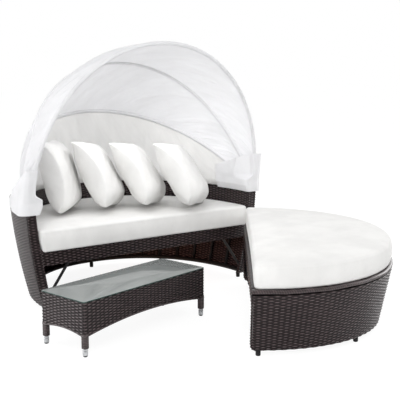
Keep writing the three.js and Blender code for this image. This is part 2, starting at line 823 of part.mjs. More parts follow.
// A steel saddle over the rim's inner edge, whose two cheeks hold the bolt
function hingeBracket(oval, side, pivotHeight) {
  const innerX = rearHoop.halfWidth - eyeWidth / 2 - cheekGap;
  const outerX = frontHoop.halfWidth + eyeWidth / 2 + seatClearance;
  const baseZ = oval.rimHeight + seatClearance;
  const middleY = bracketLength / 2 - eyeRadius;
  const width = outerX - innerX + 2 * bracketPlate;
  const cheekHeight = pivotHeight + eyeRadius - baseZ;
  const legX = oval.halfWidth(oval.rimHeight - bracketLeg) - wallThickness - postGap - bracketPlate / 2;
  const base = block(
    width, bracketLength, bracketPlate, (innerX + outerX) / 2, middleY, baseZ + bracketPlate / 2,
  );
  const cheeks = [innerX - bracketPlate / 2, outerX + bracketPlate / 2].map((x) => (
    block(bracketPlate, bracketLength, cheekHeight, x, middleY, baseZ + cheekHeight / 2)
  ));
  const leg = block(
    bracketPlate, bracketLength, bracketLeg + bracketPlate,
    legX, middleY, baseZ + bracketPlate - (bracketLeg + bracketPlate) / 2,
  );
  const hole = axle(boltRadius + boltClearance, 2 * width, (innerX + outerX) / 2, 0, pivotHeight);
  const bracket = cut(joined(base, ...cheeks, leg), hole);
  return side < 0 ? mirrored(bracket) : bracket;
}

// The bolt that the eyes of the three hoops turn on, with its head outside and its nut inside
function hingeBolt(side, pivotHeight) {
  const innerX = rearHoop.halfWidth - eyeWidth / 2 - cheekGap - seatClearance - bracketPlate;
  const outerX = frontHoop.halfWidth + eyeWidth / 2 + 2 * seatClearance + bracketPlate;
  const length = outerX - innerX + 2 * boltHeadHeight;
  const bolt = joined(
    axle(boltRadius, length, (innerX + outerX) / 2, 0, pivotHeight),
    axle(boltHeadRadius, boltHeadHeight, outerX + boltHeadHeight / 2, 0, pivotHeight, 6),
    axle(boltHeadRadius, boltHeadHeight, innerX - boltHeadHeight / 2, 0, pivotHeight, 6),
  );
  return side < 0 ? mirrored(bolt) : bolt;
}

function buildSofa(parent) {
  const oval = new HalfOval(sofa);
  const pivotHeight = oval.rimHeight + pivotRise;
  piece(parent, "sofa_wall_frame", "steel", wallFrame(oval, sofaUprights));
  const frontHalf = postInside(oval, seatRailHeight - railRadius) - postGap;
  const crossPlaces = [-crossRailX, 0, crossRailX];
  piece(parent, "sofa_seat_frame", "steel", seatFrame(oval, sofaSeatRailInset, frontHalf, crossPlaces));
  piece(parent, "sofa_outer_weave", "weave", outerWeave(oval));
  piece(parent, "sofa_inner_weave", "weave", innerWeave(oval));
  piece(parent, "sofa_rim_cap", "weave", rimCap(oval));
  piece(parent, "sofa_apron", "weave", bracedApron(oval));
  piece(parent, "sofa_deck", "weave", deck(oval));
  for (const [name, side] of [["left", -1], ["right", 1]]) {
    piece(parent, `sofa_end_face_${name}`, "weave", endFace(oval, side));
    piece(parent, `sofa_brace_${name}`, "steel", brace(oval, side));
    piece(parent, `hinge_bracket_${name}`, "steel", hingeBracket(oval, side, pivotHeight));
    piece(parent, `hinge_bolt_${name}`, "silver", hingeBolt(side, pivotHeight));
    piece(parent, `hinge_cover_${name}`, "cloth", hingeCover(oval, side));
  }
  feet(parent, "sofa", oval, sofaFootAnglesShares);
  for (const [name, hoop] of [["front", frontHoop], ["middle", middleHoop], ["rear", rearHoop]]) {
    const mesh = piece(parent, `canopy_hoop_${name}`, "aluminium", hoopGeometry(hoop));
    mesh.position.set(0, 0, pivotHeight);
    mesh.rotation.x = hoop.lean;
  }
  piece(parent, "canopy_panel_front", "cloth", canopyPanel(middleHoop, frontHoop, pivotHeight, 7));
  piece(parent, "canopy_panel_middle", "cloth", canopyPanel(rearHoop, middleHoop, pivotHeight, 5));
  piece(parent, "canopy_panel_rear", "cloth", rearPanel(rearHoop, oval, pivotHeight));

  const cushionInset = wallThickness + cushionGap;
  const outlineAt = (z) => ovalOutline(oval, z, cushionInset, -cushionOverhang, cushionCorner);
  const cushion = piece(
    parent, "seat_cushion", "cloth", boxedCushion(outlineAt, seatHeight, sofaCushionThickness),
  );
  pillows.forEach(({ across, back, turn, lean, roll }, k) => {
    const mesh = piece(parent, `pillow_${k + 1}`, "cloth", pillow());
    mesh.rotation.order = "ZXY";
    mesh.rotation.set(
      -THREE.MathUtils.degToRad(lean), THREE.MathUtils.degToRad(roll), THREE.MathUtils.degToRad(turn + 90),
    );
    mesh.position.set(across * oval.rimHalfWidth, back * oval.rimDepth, oval.rimHeight + pillowSize);
    settle(mesh, cushion);
  });
}

function buildOttoman(parent) {
  const oval = new HalfOval(ottoman);
  const frontHalf = oval.halfWidth(seatRailHeight) - ottomanSeatRailInset;
  const stubs = ottomanStubShares.map((share) => stub(oval, share));
  piece(parent, "ottoman_wall_frame", "steel", wallFrame(oval, ottomanUprights));
  piece(parent, "ottoman_seat_frame", "steel", seatFrame(oval, ottomanSeatRailInset, frontHalf, [0], ...stubs));
  piece(parent, "ottoman_outer_weave", "weave", outerWeave(oval));
  piece(parent, "ottoman_rim_cap", "weave", rimCap(oval));
  piece(parent, "ottoman_end_face_left", "weave", endFace(oval, -1));
  piece(parent, "ottoman_end_face_right", "weave", endFace(oval, 1));
  piece(parent, "ottoman_apron", "weave", apron(oval));
  piece(parent, "ottoman_deck", "weave", deck(oval));
  feet(parent, "ottoman", oval, ottomanFootShares);
  const outlineAt = () => (
    ovalOutline(oval, seatHeight, ottomanCushionInset, ottomanCushionInset, cushionCorner)
  );
  const underside = seatHeight + seatClearance;
  piece(parent, "ottoman_cushion", "cloth", boxedCushion(outlineAt, underside, ottomanCushionThickness));
}

const tableRailTop = tableHeight - glassThickness - seatClearance;

// The centres of the table's four legs
function legPlaces() {
  const x = (tableLength - tableTube) / 2 - tableWrap;
  const y = (tableWidth - tableTube) / 2 - tableWrap;
  return [[-x, -y], [x, -y], [-x, y], [x, y]];
}

// The table's frame: four square legs and the top rails between them
function tableFrame() {
  const [, , , [legX, legY]] = legPlaces();
  const height = tableRailTop - tableCapHeight;
  const railZ = tableRailTop - tableTube / 2;
  const legs = legPlaces().map(([x, y]) => (
    block(tableTube, tableTube, height, x, y, tableCapHeight + height / 2)
  ));
  const rails = [-1, 1].flatMap((side) => [
    block(tableTube, 2 * legY, tableTube, side * legX, 0, railZ),
    block(2 * legX, tableTube, tableTube, 0, side * legY, railZ),
  ]);
  return joined(...legs, ...rails);
}

// One side of the skirt in the xz plane, centred on x = 0, with an arched lower edge
function skirtSide(length, width, arch) {
  const low = tableHeight - skirtDrop;
  const inner = length / 2 - tableTube - 2 * tableWrap;
  const shape = new THREE.Shape();
  shape.moveTo(-length / 2, low);
  shape.lineTo(-inner, low);
  shape.quadraticCurveTo(0, low + 2 * arch, inner, low);
  shape.lineTo(length / 2, low);
  shape.lineTo(length / 2, tableRailTop);
  shape.lineTo(-length / 2, tableRailTop);
  return plate(shape, -width / 2, tableWrap - seatClearance, 12);
}

// The woven skirt round the table, which goes on down each leg as a sleeve
function tableSkirt() {
  const sleeve = tableTube + 2 * tableWrap;
  const sleeveBottom = tableCapHeight + seatClearance;
  const sleeveHeight = tableRailTop - sleeveBottom;
  const parts = legPlaces().map(([x, y]) => (
    block(sleeve, sleeve, sleeveHeight, x, y, sleeveBottom + sleeveHeight / 2)
  ));
  for (const side of [-1, 1]) {
    parts.push(skirtSide(tableLength, tableWidth, skirtArchLong).rotateZ(side > 0 ? Math.PI : 0));
    parts.push(skirtSide(tableWidth, tableLength, skirtArchShort).rotateZ(side * Math.PI / 2));
  }
  const hole = tableTube + 2 * seatClearance;
  const legHoles = legPlaces().map(([x, y]) => block(hole, hole, 2 * tableHeight, x, y, 0));
  const railSpace = block(
    tableLength - 2 * tableWrap + 2 * seatClearance,
    tableWidth - 2 * tableWrap + 2 * seatClearance,
    2 * (tableTube + seatClearance),
    0, 0, tableHeight - glassThickness - seatClearance,
  );
  return cut(joined(...parts), railSpace, ...legHoles);
}

// A round metal cap under a leg, which tapers to a dark tip on the ground
function tableCap() {
  const capShares = [[0, 0], [0.72, 0], [0.95, 0.16], [1, 0.22], [1, 0.99], [0, 0.99]];
  const profile = outlineOf(capShares.map(([r, z]) => [r * tableCapRadius, z * tableCapHeight]));
  return new THREE.LatheGeometry(profile, 12).rotateX(Math.PI / 2);
}

function buildTable(parent) {
  piece(parent, "table_frame", "steel", tableFrame());
  piece(parent, "table_skirt", "weave", tableSkirt());
  legPlaces().forEach(([x, y], k) => {
    piece(parent, `table_cap_${k + 1}`, "silver", tableCap()).position.set(x, y, 0);
  });
  piece(parent, "table_glass", "glass", block(
    tableLength, tableWidth, glassThickness, 0, 0, tableHeight - glassThickness / 2,
  ));
}

const set = new THREE.Group();
const sofaGroup = new THREE.Group();
const ottomanGroup = new THREE.Group();
const tableGroup = new THREE.Group();
set.add(sofaGroup, ottomanGroup, tableGroup);
buildSofa(sofaGroup);
buildOttoman(ottomanGroup);
buildTable(tableGroup);
ottomanGroup.position.copy(ottomanPlace);
ottomanGroup.rotation.z = ottomanTurn;
tableGroup.position.copy(tablePlace);
tableGroup.rotation.z = tableTurn;

// The origin lies on the ground at the centre of the whole set's box
const bounds = new THREE.Box3().setFromObject(set, true);
const middle = bounds.getCenter(new THREE.Vector3());
set.position.set(-middle.x, -middle.y, -bounds.min.z);

export default set;
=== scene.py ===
"""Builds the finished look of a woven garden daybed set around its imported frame: a half-oval sofa
with a folding cloth canopy, a half-oval ottoman and a low table with a glass top. Metres, +Z up."""

import json
import math

import bmesh
import bpy
import numpy as np
from bpy.props import FloatProperty, FloatVectorProperty, IntProperty, PointerProperty
from mathutils import Euler, Matrix, Vector


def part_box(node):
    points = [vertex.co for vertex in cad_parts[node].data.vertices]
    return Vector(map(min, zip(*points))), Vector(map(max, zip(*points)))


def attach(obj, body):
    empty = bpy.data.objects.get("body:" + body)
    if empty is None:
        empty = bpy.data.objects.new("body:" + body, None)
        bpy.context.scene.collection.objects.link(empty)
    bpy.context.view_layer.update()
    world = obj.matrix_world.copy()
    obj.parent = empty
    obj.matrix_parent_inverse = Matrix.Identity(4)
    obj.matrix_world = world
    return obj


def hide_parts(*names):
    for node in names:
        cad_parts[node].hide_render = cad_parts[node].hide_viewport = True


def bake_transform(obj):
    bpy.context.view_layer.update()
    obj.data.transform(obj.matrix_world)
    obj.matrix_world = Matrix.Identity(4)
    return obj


bl_info = {
    "name": "Woven Daybed Set",
    "version": (1, 0, 0),
    "blender": (4, 5, 0),
    "location": "View3D > Sidebar > Daybed",
    "description": "Builds a woven sofa with a folding canopy, its ottoman and its glass table",
    "category": "Add Mesh",
}

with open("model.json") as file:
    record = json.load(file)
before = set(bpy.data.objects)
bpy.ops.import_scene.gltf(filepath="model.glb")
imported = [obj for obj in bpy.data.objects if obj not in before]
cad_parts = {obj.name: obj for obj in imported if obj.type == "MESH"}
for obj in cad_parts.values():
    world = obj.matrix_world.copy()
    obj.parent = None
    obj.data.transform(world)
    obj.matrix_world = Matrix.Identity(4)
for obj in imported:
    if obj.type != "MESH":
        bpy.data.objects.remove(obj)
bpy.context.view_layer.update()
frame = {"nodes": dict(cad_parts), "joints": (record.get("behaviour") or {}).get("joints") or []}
PIVOT = np.array(next(joint["pos_m"] for joint in frame["joints"] if joint["name"] == "rear_fold"), float)

# Sizes that the frame was made with
WALL_BASE = 0.030
WALL_THICKNESS = 0.050
SKIN = 0.006
PLAN_EXPONENT = 2.12
RAIL_RADIUS = 0.0125
UPRIGHT_RADIUS = 0.008
RAIL_INSET = 0.020
CAP_DEPTH = 0.024
SEAT_HEIGHT = 0.347
DECK_UNDERSIDE = 0.3407
SEAT_RAIL_HEIGHT = 0.3279
BASE_RAIL_HEIGHT = 0.0431
APRON_TOP, APRON_BOTTOM = 0.3404, 0.2644
CORNER_RADIUS = 0.025
HOOP_EXPONENT = 2.05
CLOTH_START = 0.120
SIDE_BULGE = 0.055
HOOPS = {  # half width, reach and lean from upright
    "front": (0.732, 0.849, math.radians(10.4)),
    "middle": (0.714, 0.830, math.radians(-28)),
    "rear": (0.696, 0.848, math.radians(-59.5)),
}
CUSHION_INSET = 0.0545
CUSHION_FRONT = -0.003
CUSHION_CORNER = 0.026
OTTOMAN_CUSHION_INSET = 0.010
PILLOW_SIZE = 0.440
TABLE_LENGTH, TABLE_WIDTH, TABLE_HEIGHT = 0.841, 0.308, 0.265
GLASS_THICKNESS, GLASS_CORNER = 0.006, 0.008
SKIRT_LOW = TABLE_HEIGHT - 0.165
LEG_PLACE = (0.4065, 0.140)
SLEEVE_SIZE, SLEEVE_CORNER, SLEEVE_LOW = 0.0266, 0.005, 0.0403
SIDES = (("left", -1), ("right", 1))
PILLOWS = ((-34, 15, 4), (-35, 28, 8), (-39, 33, 8), (-41, 33, 8))  # turn, lean and roll in degrees

# Detail of the visible pieces
STEPS_A_STAKE = 4
STRAND_LEVELS = (0.05, 0.5, 0.95)
THREAD = 0.0011
# The rear panel's cloth is painted paler and warmer than the canopy cloth: painted bounce light inside the canopy.
REAR_CLOTH_WITH_PAINTED_BOUNCE = (0.945, 0.937, 0.912)
CANOPY_SAG = 0.014
TUBE_IN_SLEEVE = 0.0090
LOWER_SEAM = (0.018, 0.016)
UPPER_SEAM = (0.020, 0.018)
PILLOW_FRONT, PILLOW_BACK, PILLOW_BOW = 0.104, 0.072, 0.070
PILLOW_SINK = 0.011

# The camera that was fitted to the photograph, in degrees and in metres from the pivot
CAMERA_LENS, CAMERA_SENSOR = 72.70, 36
CAMERA_SHIFT, CAMERA_HEIGHT = (-2.349, -3.913), 1.325
CAMERA_DOWN, CAMERA_TURN = 9.5615, -34.442


def length_property(name, description, default):
    return FloatProperty(name=name, description=description, default=default, unit="LENGTH")


def colour_property(name, description, default):
    return FloatVectorProperty(name=name, description=description, default=default, subtype="COLOR")


class DaybedSizes(bpy.types.PropertyGroup):
    """Sizes of the visible detail"""

    strand_height: length_property("Strand height", "Width of one woven strand", 0.0076)
    stake_spacing: length_property("Stake spacing", "Distance between two crossings of a strand", 0.026)
    weave_relief: length_property("Weave relief", "How far a strand swings in and out", 0.0018)
    sleeve_radius: length_property("Sleeve radius", "Radius of the cloth sleeve on a canopy hoop", 0.0112)
    cloth_thickness: length_property("Cloth thickness", "Thickness of the canopy cloth", 0.0016)
    canopy_folds: length_property("Canopy folds", "Height of the folds in the canopy", 0.0075)
    seat_cushion_height: length_property("Seat cushion", "Height of the seat cushion", 0.124)
    ottoman_cushion_height: length_property("Ottoman cushion", "Height of the ottoman cushion", 0.124)
    cushion_crown: length_property("Cushion crown", "Rise of a cushion's top towards its middle", 0.012)
    glass_edge: length_property("Glass edge", "Rounding of the glass's edges", 0.0012)
    wrap_steps: IntProperty(name="Wrap steps", description="Points across one wound strand", default=4, min=3, max=8)


class DaybedColours(bpy.types.PropertyGroup):
    """Colours of the finishes"""

    strand_dark: colour_property("Dark strand", "Colour of the strands", (0.0075, 0.0038, 0.0040))
    # The palest strands take this colour, and so do the painted highlights on the strands' crests.
    strand_light: colour_property("Pale strand", "Colour of the palest strands", (0.088, 0.059, 0.061))
    cloth: colour_property("Cloth", "Colour of the cushions and pillows", (0.87, 0.865, 0.85))
    canopy: colour_property("Canopy", "Colour of the canopy cloth", (0.93, 0.93, 0.945))
    frame_paint: colour_property("Frame paint", "Colour of the painted steel", (0.012, 0.012, 0.013))
    glass: colour_property("Glass", "Colour of the glass", (0.30, 0.32, 0.315))


def sizes():
    return bpy.context.scene.daybed_sizes


def colours():
    return bpy.context.scene.daybed_colours


# Places and curves

def superellipse(angle, half, reach, exponent):
    """Half a superellipse: x = a sgn(cos t) |cos t|^(2/n), y = b |sin t|^(2/n)."""
    across = np.cos(angle)
    x = half * np.sign(across) * np.abs(across) ** (2 / exponent)
    return x, reach * np.abs(np.sin(angle)) ** (2 / exponent)


def run_along(path):
    """The length of a path up to each of its points."""
    return np.concatenate([[0], np.cumsum(np.linalg.norm(np.diff(path, axis=0), axis=1))])


def evenly(line, count, closed=False):
    """Points at even lengths along a line of (x, y) points."""
    run = run_along(line)
    even = np.linspace(0, run[-1], count, endpoint=not closed)
    return np.stack([np.interp(even, run, line[:, k]) for k in range(2)], axis=1)


def around_turn(count):
    """Even angles round a full circle, without its end."""
    return np.linspace(0, 2 * math.pi, count, endpoint=False)


def grid_shares(columns, rows):
    """Even shares from 0 to 1 along each way of a grid."""
    return np.linspace(0, 1, columns + 1)[:, None], np.linspace(0, 1, rows + 1)[None, :]


def smooth_share(value, low, high):
    """3 s^2 - 2 s^3 of the share s of the way from low to high."""
    share = np.clip((value - low) / (high - low), 0, 1)
    return share ** 2 * (3 - 2 * share)


def ripples(share, down, waves, seed):
    """A sum of sines of (across, down) with seeded phases and falling heights, about -1 to 1."""
    rng = np.random.default_rng(seed)
    total = 0
    for across, along, height in waves:
        total = total + height * np.sin(2 * math.pi * (across * share + along * down) + rng.uniform(0, 6.3))
    return total


def outward(outline):
    """The normals of a closed outline, square to the line between each point's neighbours, and
    those lines' lengths."""
    following = np.roll(outline, -1, axis=0) - np.roll(outline, 1, axis=0)
    normal = np.stack([following[..., 1], -following[..., 0]], axis=-1)
    length = np.linalg.norm(normal, axis=-1, keepdims=True)
    return normal / length, length


class Place:
    """A turn about +Z and then a shift, from a piece of furniture's own axes to the set's axes."""

    def __init__(self, x, y, degrees):
        self.origin = np.array([PIVOT[0] + x, PIVOT[1] + y, 0.0])
        self.turn = math.radians(degrees)

    def at(self, x, y, z):
        """The turned (x, y) plus the shift, at height z."""
        c, s = math.cos(self.turn), math.sin(self.turn)
        x, y, z = np.broadcast_arrays(x, y, z)
        return np.stack([c * x - s * y, s * x + c * y, z], axis=-1) + self.origin


SOFA_PLACE = Place(0, 0, 0)
OTTOMAN_PLACE = Place(0.20948, -0.62247, 53.9 - 180)
TABLE_PLACE = Place(-0.426, -0.4605, 14.9)


class HalfOval:
    """A wall whose plan is half a superellipse, |x/a|^n + |y/b|^n = 1 with y >= 0. Its half width a
    and depth b grow in a straight line from base to rim, and a bows out by 4 bow s (1 - s)."""

    def __init__(self, place, rim_height, rim_half, rim_depth, base_half, base_depth, bow):
        self.place, self.rim_height = place, rim_height
        self.rim_half, self.rim_depth = rim_half, rim_depth
        self.base_half, self.base_depth, self.bow = base_half, base_depth, bow
        self.skin_top = rim_height - CAP_DEPTH - 0.0003
        self.middle = (WALL_BASE + rim_height) / 2
        self.angles = np.linspace(0, math.pi, 3001)
        self.run = run_along(np.stack(self.plan(self.angles, self.middle, 0), axis=1))

    def share_up(self, z):
        """How far up the wall a height is, from 0 at its base to 1 at its rim."""
        return (z - WALL_BASE) / (self.rim_height - WALL_BASE)

    def half_width(self, z):
        """base + (rim - base) s + 4 bow s (1 - s)."""
        share = self.share_up(z)
        return self.base_half + (self.rim_half - self.base_half) * share + 4 * self.bow * share * (1 - share)

    def depth(self, z):
        """base + (rim - base) s."""
        return self.base_depth + (self.rim_depth - self.base_depth) * self.share_up(z)

    def plan(self, angle, z, inset):
        """The superellipse at height z, moved in by inset along its normal."""
        a, b = self.half_width(z), self.depth(z)
        x, y = superellipse(angle, a, b, PLAN_EXPONENT)
        nx = np.sign(x) * np.abs(x / a) ** (PLAN_EXPONENT - 1) / a
        ny = np.abs(y / b) ** (PLAN_EXPONENT - 1) / b
        length = np.hypot(nx, ny)
        return x - inset * nx / length, y - inset * ny / length

    def point(self, angle, z, inset=0.0):
        """The plan's point at a height, in the set's axes."""
        angle, z, inset = np.broadcast_arrays(angle, z, inset)
        x, y = self.plan(angle, z, inset)
        return self.place.at(x, y, z)

    def angle_at(self, y, z):
        """The angle where the curve is y deep, asin((y / b)^(n / 2))."""
        return np.arcsin(np.clip(y / self.depth(z), 0, 1) ** (PLAN_EXPONENT / 2))

    def ends(self, start_y):
        """The angle where the wall starts at middle height, and the run of its two ends."""
        start = self.angle_at(start_y, self.middle)
        return start, *np.interp([start, math.pi - start], self.angles, self.run)

    def length(self, start_y=0.0):
        """The wall's length round, at middle height."""
        _, low, high = self.ends(start_y)
        return high - low

    def around(self, share, z, start_y=0.0):
        """The angle a share of the wall's length round from one front end, by a table of the
        curve's length at middle height, fitted between the two ends at height z."""
        start, low, high = self.ends(start_y)
        angle = np.interp(low + (high - low) * share, self.run, self.angles)
        here = self.angle_at(start_y, z)
        return here + (angle - start) * (math.pi - 2 * here) / (math.pi - 2 * start)

    def share_angle(self, share, y, z):
        """The angle a share of the way between the two places where the curve is y deep."""
        start = self.angle_at(y, z)
        return start + (math.pi - 2 * start) * share


SOFA = HalfOval(SOFA_PLACE, rim_height=0.585, rim_half=0.758, rim_depth=0.917,
                base_half=0.673, base_depth=0.806, bow=0.015)
OTTOMAN = HalfOval(OTTOMAN_PLACE, rim_height=0.347, rim_half=0.748, rim_depth=0.745,
                   base_half=0.628, base_depth=0.688, bow=0.006)


# Meshes

def linked(name, data):
    """A new object in the scene."""
    obj = bpy.data.objects.new(name, data)
    bpy.context.scene.collection.objects.link(obj)
    return obj


def mesh_piece(name, points, faces, corner_uv=None, weld=False, closed=True):
    """A new object from points, faces of vertex numbers and one UV pair for each face corner. A
    closed surface whose signed volume, the sum of p0 . (p1 x p2) / 6, is negative is turned."""
    points = np.asarray(points, float).reshape(-1, 3)
    quads, rims = faces[0], [list(rim) for rim in faces[1]]
    if closed:
        p = points[quads] - points.mean(axis=0)
        volume = np.einsum("ij,ij->", p[:, 0], np.cross(p[:, 1], p[:, 2]) + np.cross(p[:, 2], p[:, 3]))
        if volume < 0:
            quads = quads[:, ::-1]
            corner_uv = None if corner_uv is None else corner_uv[:, ::-1]
            rims = [rim[::-1] for rim in rims]
    mesh = bpy.data.meshes.new(name)
    mesh.from_pydata(points.tolist(), [], quads.tolist() + rims)
    if corner_uv is not None:
        layer = mesh.uv_layers.new(name="UVMap")
        flat = np.zeros((len(mesh.loops), 2), np.float32)
        flat[: quads.size] = corner_uv.reshape(-1, 2)
        if rims:
            by_point = np.zeros((len(points), 2))
            by_point[quads.ravel()] = corner_uv.reshape(-1, 2)
            flat[quads.size:] = by_point[np.concatenate(rims)]
        layer.data.foreach_set("uv", flat.ravel())
    if weld:
        work = bmesh.new()
        work.from_mesh(mesh)
        bmesh.ops.remove_doubles(work, verts=work.verts, dist=1e-6)
        work.to_mesh(mesh)
        work.free()
    mesh.polygons.foreach_set("use_smooth", np.full(len(mesh.polygons), True))
    mesh.update()
    return linked(name, mesh)


def grid_faces(rows, columns, wrap_rows=False, wrap_columns=False):
    """Quads of a grid of points, and each corner's row and column, which run on past a wrap."""
    i, j = np.meshgrid(np.arange(rows if wrap_rows else rows - 1),
                       np.arange(columns if wrap_columns else columns - 1), indexing="ij")
    i, j = i.ravel(), j.ravel()
    corner_i = np.stack([i, i + 1, i + 1, i], axis=1)
    corner_j = np.stack([j, j, j + 1, j + 1], axis=1)
    return (corner_i % rows) * columns + corner_j % columns, corner_i, corner_j


def surface(name, points, u=None, v=None, wrap_rows=False, wrap_columns=False, caps=False, **options):
    """A grid of points (rows, columns, 3) as a surface. u and v hold the UV place of each row and
    column, with one more where that way wraps. caps closes both ends of the rows."""
    rows, columns = points.shape[:2]
    quads, corner_i, corner_j = grid_faces(rows, columns, wrap_rows, wrap_columns)
    uv = None
    if u is not None:
        u, v = (np.broadcast_to(way, (rows + wrap_rows, columns + wrap_columns)) for way in (u, v))
        uv = np.stack([u[corner_i, corner_j], v[corner_i, corner_j]], axis=-1)
    rims = []
    if caps:
        rims = [np.arange(columns)[::-1], (rows - 1) * columns + np.arange(columns)]
    return mesh_piece(name, points, (quads, rims), uv, **options)


def finish(obj, made, node):
    """Gives a piece the material of its finish, puts it on the root body and hides the frame node it stands for."""
    obj.data.materials.append(finish_material(made))
    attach(obj, "root")
    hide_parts(node)
    return obj


def dress(node, made):
    """Gives a node of the frame a finish."""
    slots = frame["nodes"][node].data.materials
    slots.clear()
    slots.append(finish_material(made))


def joined(name, parts):
    """Several objects as one, in one mesh."""
    work = bmesh.new()
    for part in parts:
        work.from_mesh(part.data)
        mesh = part.data
        bpy.data.objects.remove(part)
        bpy.data.meshes.remove(mesh)
    mesh = bpy.data.meshes.new(name)
    work.to_mesh(mesh)
    work.free()
    return linked(name, mesh)


def path_sides(path, side):
    """Two directions square to a path and to each other at each point: the path's direction t and
    a fixed side give a = t x side, and then t x a."""
    along = np.gradient(path, axis=0)
    along /= np.linalg.norm(along, axis=1, keepdims=True)
    first = np.cross(along, np.broadcast_to(side, along.shape))
    first /= np.linalg.norm(first, axis=1, keepdims=True)
    return first, np.cross(along, first)


def tube(name, path, radius, side=(0, 0, 1), sides=16):
    """Rings of one radius, or a radius for each point, round a path and square to it."""
    first, second = path_sides(path, side)
    turn = around_turn(sides)
    reach = np.broadcast_to(radius, (len(path), sides))[..., None]
    ring = np.cos(turn)[None, :, None] * first[:, None] + np.sin(turn)[None, :, None] * second[:, None]
    around = np.linspace(0, 2 * math.pi * float(np.mean(radius)), sides + 1)
    return surface(name, path[:, None] + reach * ring, run_along(path)[:, None], around[None, :],
                   wrap_columns=True, caps=True)


def straight(name, start, end, radius, side=(0, 0, 1), sides=16):
    """A tube of one radius from start to end, start (1 - s) + end s."""
    share = np.linspace(0, 1, 3)[:, None]
    return tube(name, start * (1 - share) + end * share, radius, side, sides)


def turned(name, profile, x, y, sides=32):
    """A profile of (radius, height) pairs turned about a vertical axis."""
    profile = np.asarray(profile, float)
    turn = around_turn(sides)
    points = np.stack([
        x + profile[None, :, 0] * np.cos(turn)[:, None],
        y + profile[None, :, 0] * np.sin(turn)[:, None],
        np.broadcast_to(profile[None, :, 1], (sides, len(profile))),
    ], axis=-1)
    around = np.linspace(0, 2 * math.pi * profile[:, 0].max(), sides + 1)
    return surface(name, points, around[:, None], run_along(profile)[None, :], wrap_rows=True, weld=True)


# Weaving

def woven(name, length, height, lay, wrap=False, back=0.0028, back_levels=6, seed=3):
    """A slab of plain weave. Along a strand the height is relief cos(pi (u / stake + row)), across
    it falls by the square of the distance from the strand's middle, and its back is plain. lay
    turns (u, v, lift), in metres along the strands, up the rows and out, into points."""
    s = sizes()
    spans = length / s.stake_spacing
    stakes = max(2, 2 * round(spans / 2)) if wrap else max(1, round(spans))
    rows = max(1, round(height / s.strand_height))
    u = np.linspace(0, length, stakes * STEPS_A_STAKE + 1)
    across = np.tile(STRAND_LEVELS, rows)
    row = np.repeat(np.arange(rows), len(STRAND_LEVELS))
    v = (row + across) / rows * height
    rng = np.random.default_rng(seed)
    swing = s.weave_relief * (1 + 0.12 * rng.standard_normal(rows))[row]
    crossing = np.cos(math.pi * (u[:, None] * stakes / length + row[None, :]))
    crossing = np.sign(crossing) * np.abs(crossing) ** 0.7
    lift = swing * crossing + s.weave_relief - 1.15 * s.weave_relief * (2 * across - 1) ** 2
    lift = lift + 0.00015 * rng.standard_normal(lift.shape)
    lift = np.concatenate([lift, np.full((len(u), back_levels), -back)], axis=1)
    v = np.concatenate([v, np.linspace(height, 0, back_levels)])
    points = lay(np.broadcast_to(u[:, None], lift.shape), np.broadcast_to(v[None, :], lift.shape), lift)
    place_u = u * s.stake_spacing * stakes / length
    place_v = np.concatenate([v, v[:1]]) * (s.strand_height * rows / height)
    return surface(name, points[:-1] if wrap else points, place_u[:, None], place_v[None, :],
                   wrap_rows=wrap, wrap_columns=True, caps=not wrap)


def wound(name, path, profile, pitch, relief, slant=0.0, side=(0, 0, 1)):
    """Strands wound round a bar: a flat profile of (across, up) pairs carried along a path, which
    swells by relief |sin(pi (s / pitch + slant t))|^0.6, s along the path and t round it."""
    first, second = path_sides(path, side)
    normal, length = outward(profile)
    turns = run_along(path)[:, None] / pitch
    around = np.linspace(0, 1, len(profile), endpoint=False)
    swell = relief * np.abs(np.sin(math.pi * (turns + slant * around))) ** 0.6
    flat = profile[None, :, :] + swell[..., None] * normal[None, :, :]
    points = path[:, None] + flat[..., :1] * first[:, None] - flat[..., 1:] * second[:, None]
    share = np.linspace(0, 1, len(profile) + 1)[None, :]
    u = np.linspace(0, length[..., 0].sum() / 2, len(profile) + 1)[None, :]
    v = (turns + slant * share) * sizes().strand_height
    return surface(name, points, u, v, wrap_columns=True, caps=True)


def lower_corner(y):
    """The height of the wall's lower edge, which rounds up over the last 25 mm to the front."""
    reach = np.clip(CORNER_RADIUS - y, 0, CORNER_RADIUS)
    return WALL_BASE + CORNER_RADIUS - np.sqrt(CORNER_RADIUS ** 2 - reach ** 2)


def wall_weave(name, oval, low, high, inset, lifts=1, start_y=0.0063, seed=3):
    """Weave on one side of the wall, which lifts inwards (1) or outwards (-1). Its lower edge
    rounds up to the front ends where it is the outer skin."""
    length = oval.length(start_y)

    def lay(u, v, lift):
        share, rise = u / length, v / (high - low)
        z = low + v
        if low <= WALL_BASE:
            _, y = oval.plan(oval.around(share, z, start_y), z, 0)
            foot = lower_corner(y)
            z = foot + (high - foot) * rise
        return oval.point(oval.around(share, z, start_y), z, inset + lifts * lift)

    return woven(name, length, high - low, lay, seed=seed)


def end_weave(name, oval, side):
    """The woven front end of the wall, which turns under at the rounded lower corner."""
    arc, clear = CORNER_RADIUS * math.pi / 2, 0.0004
    height = arc + oval.skin_top - WALL_BASE - CORNER_RADIUS

    def lay(u, v, lift):
        turn = np.clip(v / CORNER_RADIUS, 0, math.pi / 2)
        z = np.where(v < arc, WALL_BASE + CORNER_RADIUS - (CORNER_RADIUS + lift) * np.cos(turn),
                     WALL_BASE + CORNER_RADIUS + v - arc)
        y = CORNER_RADIUS - (CORNER_RADIUS + lift) * np.sin(turn)
        x = oval.half_width(z) - clear - (WALL_THICKNESS - 2 * clear) * (1 - u / WALL_THICKNESS)
        return oval.place.at(side * x, y, z)

    return woven(name, WALL_THICKNESS, height, lay, back=0.006, seed=7)


